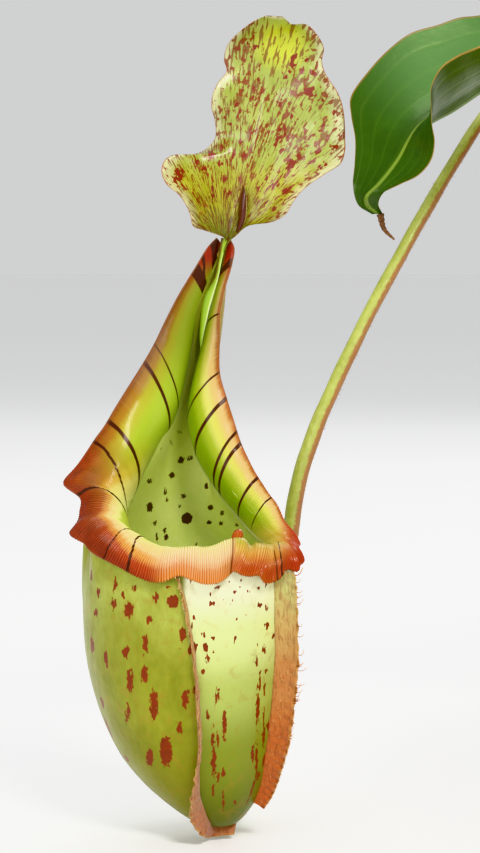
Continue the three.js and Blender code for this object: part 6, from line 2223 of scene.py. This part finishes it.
def bark_finish():
    def build(g):
        place = g.place()
        grain = g.noise(g.stretched(place, (0.4, 1.4, 0.9)), 0.8, 5.0, 0.6)
        chip = g.value_of("tone")
        dark = g.mix(chip, (70, 42, 24), (132, 84, 50))
        colour = g.mix(g.step(grain, 0.35, 0.7), (44, 26, 16), dark)
        return {"Base Color": colour, "Height": grain}

    return finish_of("bark chip", build, main="bark", bump=0.0015, Roughness=0.88)


def perlite_finish():
    def build(g):
        tone = g.group("Mottle", vector=g.place(), scale=0.6, contrast=1.0)
        colour = g.mix(tone, (206, 200, 188), (244, 240, 230))
        return {"Base Color": colour, "Height": g.noise(g.place(), 2.0, 3.0)}

    return finish_of("perlite", build, bump=0.0006, Roughness=0.95)


def moss_finish():
    def build(g):
        ground = g.mix(g.value_of("tone"), (128, 128, 58), (186, 172, 112))
        tone = g.group("Mottle", vector=g.place(), scale=0.2, contrast=1.0)
        return {"Base Color": g.over(ground, (96, 104, 40), tone, 0.5)}

    return finish_of("moss strand", build, glow=0.2, Roughness=0.9)


# Stage
# Each lamp's place from the camera's target and its size, in metres, its share of the key or the fill light's
# power, and its colour.
LAMPS = [
    ("key", (0.9, -2.4, 1.9), 0.8, "key", 1.0, (1.0, 0.98, 0.95)),
    ("fill", (-1.6, -2.6, 0.9), 1.6, "fill", 1.0, (0.96, 0.98, 1.0)),
    ("rim", (1.4, 2.2, 1.8), 1.6, "key", 0.4, (1.0, 1.0, 1.0)),
    ("top", (-0.2, 0.2, 3.0), 1.8, "key", 0.3, (1.0, 1.0, 1.0)),
]
SKY_COLOUR = (0.96, 0.965, 0.97, 1.0)
FLOOR_HALF = 60000.0


def make_stage(floor_tone, key_power, fill_power, sky):
    """A pale floor, soft lights and the photograph's camera."""
    scene = bpy.context.scene
    half = FLOOR_HALF
    corners = [(-half, -half, 0), (half, -half, 0), (half, half, 0), (-half, half, 0)]
    shape = Shape()
    shape.merge(corners, [[0, 1, 2, 3]])
    floor = shape.make("floor", [stage_finish(floor_tone)], soft=False)
    world = bpy.data.worlds.new("studio")
    world.use_nodes = True
    background = world.node_tree.nodes["Background"]
    background.inputs["Color"].default_value = SKY_COLOUR
    background.inputs["Strength"].default_value = sky
    scene.world = world
    powers = {"key": key_power, "fill": fill_power}
    for name, place, size, source, share, colour in LAMPS:
        lamp = bpy.data.lights.new(name, "AREA")
        lamp.shape, lamp.size, lamp.energy, lamp.color = "DISK", size, powers[source] * share, colour
        light = bpy.data.objects.new(name, lamp)
        light.location = Vector(CAMERA_TARGET * MM) + Vector(place)
        light.rotation_euler = (-Vector(place)).to_track_quat("-Z", "Y").to_euler()
        light.visible_camera = False
        scene.collection.objects.link(light)
    lens = bpy.data.cameras.new("photo camera")
    lens.lens, lens.sensor_width, lens.clip_end = CAMERA_LENS, SENSOR, 200.0
    camera = bpy.data.objects.new("photo camera", lens)
    camera.location = CAMERA_AT * MM
    camera.rotation_euler = Vector(-CAMERA_BACK).to_track_quat("-Z", "Y").to_euler()
    scene.collection.objects.link(camera)
    scene.camera = camera
    scene.view_settings.view_transform = "Khronos PBR Neutral"


def stage_finish(tone):
    def build(g):
        return {"Base Color": (tone, tone, tone, 1.0)}

    return finish_of("stage paper", build, Roughness=0.9, Specular_IOR_Level=0.2)


# Add-on
def colour_property(name, description, default):
    return bpy.props.FloatVectorProperty(
        name=name, description=description, default=default, size=3, min=0.0, max=1.0, subtype="COLOR")


class NepenthesColours(bpy.types.PropertyGroup):
    """The main colour of each part. Its lighter and darker tones shift with it."""
    clay: colour_property("Pot", "Colour of the clay pot", MAIN_COLOURS["clay"])
    bark: colour_property("Bark", "Colour of the potting mix", MAIN_COLOURS["bark"])
    stem: colour_property("Stem", "Colour of the upright stem", MAIN_COLOURS["stem"])
    leaf: colour_property("Leaves", "Colour of the blades", MAIN_COLOURS["leaf"])
    tendril: colour_property("Tendrils", "Colour of the tendrils", MAIN_COLOURS["tendril"])
    cup: colour_property("Cup", "Colour of the pitcher's wall outside", MAIN_COLOURS["cup"])
    lining: colour_property("Lining", "Colour of the pitcher's wall inside", MAIN_COLOURS["lining"])
    mark: colour_property("Marks", "Colour of the marks on the cup", srgb(128, 36, 8))
    rim: colour_property("Rim", "Colour of the ribbed rim", MAIN_COLOURS["rim"])
    wing: colour_property("Wings", "Colour of the two wings", MAIN_COLOURS["wing"])
    lid: colour_property("Lid", "Colour of the lid", MAIN_COLOURS["lid"])


class NepenthesSizes(bpy.types.PropertyGroup):
    """The sizes and numbers of the fine parts."""
    rib_count: bpy.props.IntProperty(
        name="Rim ribs", description="How many ribs the rim has", default=470, min=60, max=900)
    rib_height: bpy.props.FloatProperty(
        name="Rib height", description="How far the rim's ribs stand out", default=0.0005, min=0.0, max=0.001,
        precision=5, subtype="DISTANCE", unit="LENGTH")
    ruffle: bpy.props.FloatProperty(
        name="Ruffle", description="How deep the rim's small waves are", default=0.0009, min=0.0, max=0.002,
        precision=5, subtype="DISTANCE", unit="LENGTH")
    hair_length: bpy.props.FloatProperty(
        name="Hair length", description="Length of the wings' hairs, as a share of the photograph's",
        default=1.0, min=0.2, max=1.2, subtype="FACTOR")
    bark_chips: bpy.props.IntProperty(
        name="Bark chips", description="How many bark chips lie on the potting mix",
        default=430, min=0, max=900)
    moss_tufts: bpy.props.IntProperty(
        name="Moss tufts", description="How many tufts of moss grow on the potting mix",
        default=34, min=0, max=60)


class NepenthesStageSettings(bpy.types.PropertyGroup):
    """The floor and the lights."""
    floor_tone: bpy.props.FloatProperty(
        name="Floor tone", description="How pale the floor is",
        default=0.98, min=0.0, max=1.0, subtype="FACTOR")
    sky: bpy.props.FloatProperty(
        name="Sky", description="Strength of the even light from all sides", default=0.7, min=0.0)
    key_power: bpy.props.FloatProperty(
        name="Key light", description="Power of the main soft light", default=74.0, min=0.0, unit="POWER")
    fill_power: bpy.props.FloatProperty(
        name="Fill light", description="Power of the soft light on the left",
        default=44.0, min=0.0, unit="POWER")


class NEPENTHES_OT_stage(bpy.types.Operator):
    """Makes the pale floor, the soft lights and the camera"""
    bl_idname = "nepenthes.stage"
    bl_label = "Stage"

    def execute(self, context):
        settings = context.scene.nepenthes_stage
        make_stage(settings.floor_tone, settings.key_power, settings.fill_power, settings.sky)
        return {"FINISHED"}


class NEPENTHES_OT_pot(bpy.types.Operator):
    """Makes the clay pot with its drain holes"""
    bl_idname = "nepenthes.pot"
    bl_label = "Pot"

    def execute(self, context):
        make_pot()
        return {"FINISHED"}


class NEPENTHES_OT_potting_mix(bpy.types.Operator):
    """Makes the potting mix: its bed, bark chips, perlite and moss"""
    bl_idname = "nepenthes.potting_mix"
    bl_label = "Potting mix"

    def execute(self, context):
        sizes = context.scene.nepenthes_sizes
        make_mix(sizes.bark_chips, sizes.moss_tufts)
        return {"FINISHED"}


class NEPENTHES_OT_leaves(bpy.types.Operator):
    """Makes the stem, the rolled young leaf and the eight blades"""
    bl_idname = "nepenthes.leaves"
    bl_label = "Stem and leaves"

    def execute(self, context):
        leaf_finish()
        make_stem()
        make_new_leaf()
        for index in range(len(LEAVES)):
            make_leaf(index)
        return {"FINISHED"}


class NEPENTHES_OT_tendrils(bpy.types.Operator):
    """Makes the pitcher's tendril and the hooks of the other leaves"""
    bl_idname = "nepenthes.tendrils"
    bl_label = "Tendrils"

    def execute(self, context):
        tendril_finish()
        withered_finish()
        make_main_tendril()
        for index in range(1, len(LEAVES)):
            make_hook(index)
        return {"FINISHED"}


class NEPENTHES_OT_cup(bpy.types.Operator):
    """Makes the wall of the pitcher with its neck"""
    bl_idname = "nepenthes.cup"
    bl_label = "Pitcher cup"

    def execute(self, context):
        make_cup()
        return {"FINISHED"}


class NEPENTHES_OT_rim(bpy.types.Operator):
    """Makes the ribbed and ruffled rim of the pitcher"""
    bl_idname = "nepenthes.rim"
    bl_label = "Rim"

    def execute(self, context):
        sizes = context.scene.nepenthes_sizes
        make_rim(sizes.rib_count, sizes.rib_height / MM, sizes.ruffle / MM)
        return {"FINISHED"}


class NEPENTHES_OT_wings(bpy.types.Operator):
    """Makes the two fringed wings up the pitcher's front"""
    bl_idname = "nepenthes.wings"
    bl_label = "Wings"

    def execute(self, context):
        hair_length = context.scene.nepenthes_sizes.hair_length
        make_wing("left", hair_length)
        make_wing("right", hair_length)
        return {"FINISHED"}


class NEPENTHES_OT_lid(bpy.types.Operator):
    """Makes the upright mottled lid"""
    bl_idname = "nepenthes.lid"
    bl_label = "Lid"

    def execute(self, context):
        make_lid()
        return {"FINISHED"}


OPERATORS = (
    NEPENTHES_OT_stage, NEPENTHES_OT_pot, NEPENTHES_OT_potting_mix, NEPENTHES_OT_leaves,
    NEPENTHES_OT_tendrils, NEPENTHES_OT_cup, NEPENTHES_OT_rim, NEPENTHES_OT_wings, NEPENTHES_OT_lid,
)


class NEPENTHES_PT_panel(bpy.types.Panel):
    """Lists the pieces of the plant and the stage's settings"""
    bl_idname = "NEPENTHES_PT_panel"
    bl_label = "Nepenthes"
    bl_space_type = "VIEW_3D"
    bl_region_type = "UI"
    bl_category = "Nepenthes"

    def draw(self, context):
        for group in SETTINGS:
            settings = getattr(context.scene, group)
            for name in settings.bl_rna.properties.keys():
                if name not in ("rna_type", "name"):
                    self.layout.prop(settings, name)
        for operator in OPERATORS:
            self.layout.operator(operator.bl_idname)


SETTINGS = {
    "nepenthes_stage": NepenthesStageSettings, "nepenthes_colours": NepenthesColours,
    "nepenthes_sizes": NepenthesSizes,
}
CLASSES = (*SETTINGS.values(), *OPERATORS, NEPENTHES_PT_panel)


def register():
    for item in CLASSES:
        bpy.utils.register_class(item)
    for name, group in SETTINGS.items():
        setattr(bpy.types.Scene, name, bpy.props.PointerProperty(type=group))


def unregister():
    for name in SETTINGS:
        delattr(bpy.types.Scene, name)
    for item in reversed(CLASSES):
        bpy.utils.unregister_class(item)


def main():
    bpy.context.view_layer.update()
    register()
    build_groups()
    for operator in OPERATORS:
        family, name = operator.bl_idname.split(".")
        getattr(getattr(bpy.ops, family), name)()
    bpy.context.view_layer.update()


if __name__ == "__main__":
    main()
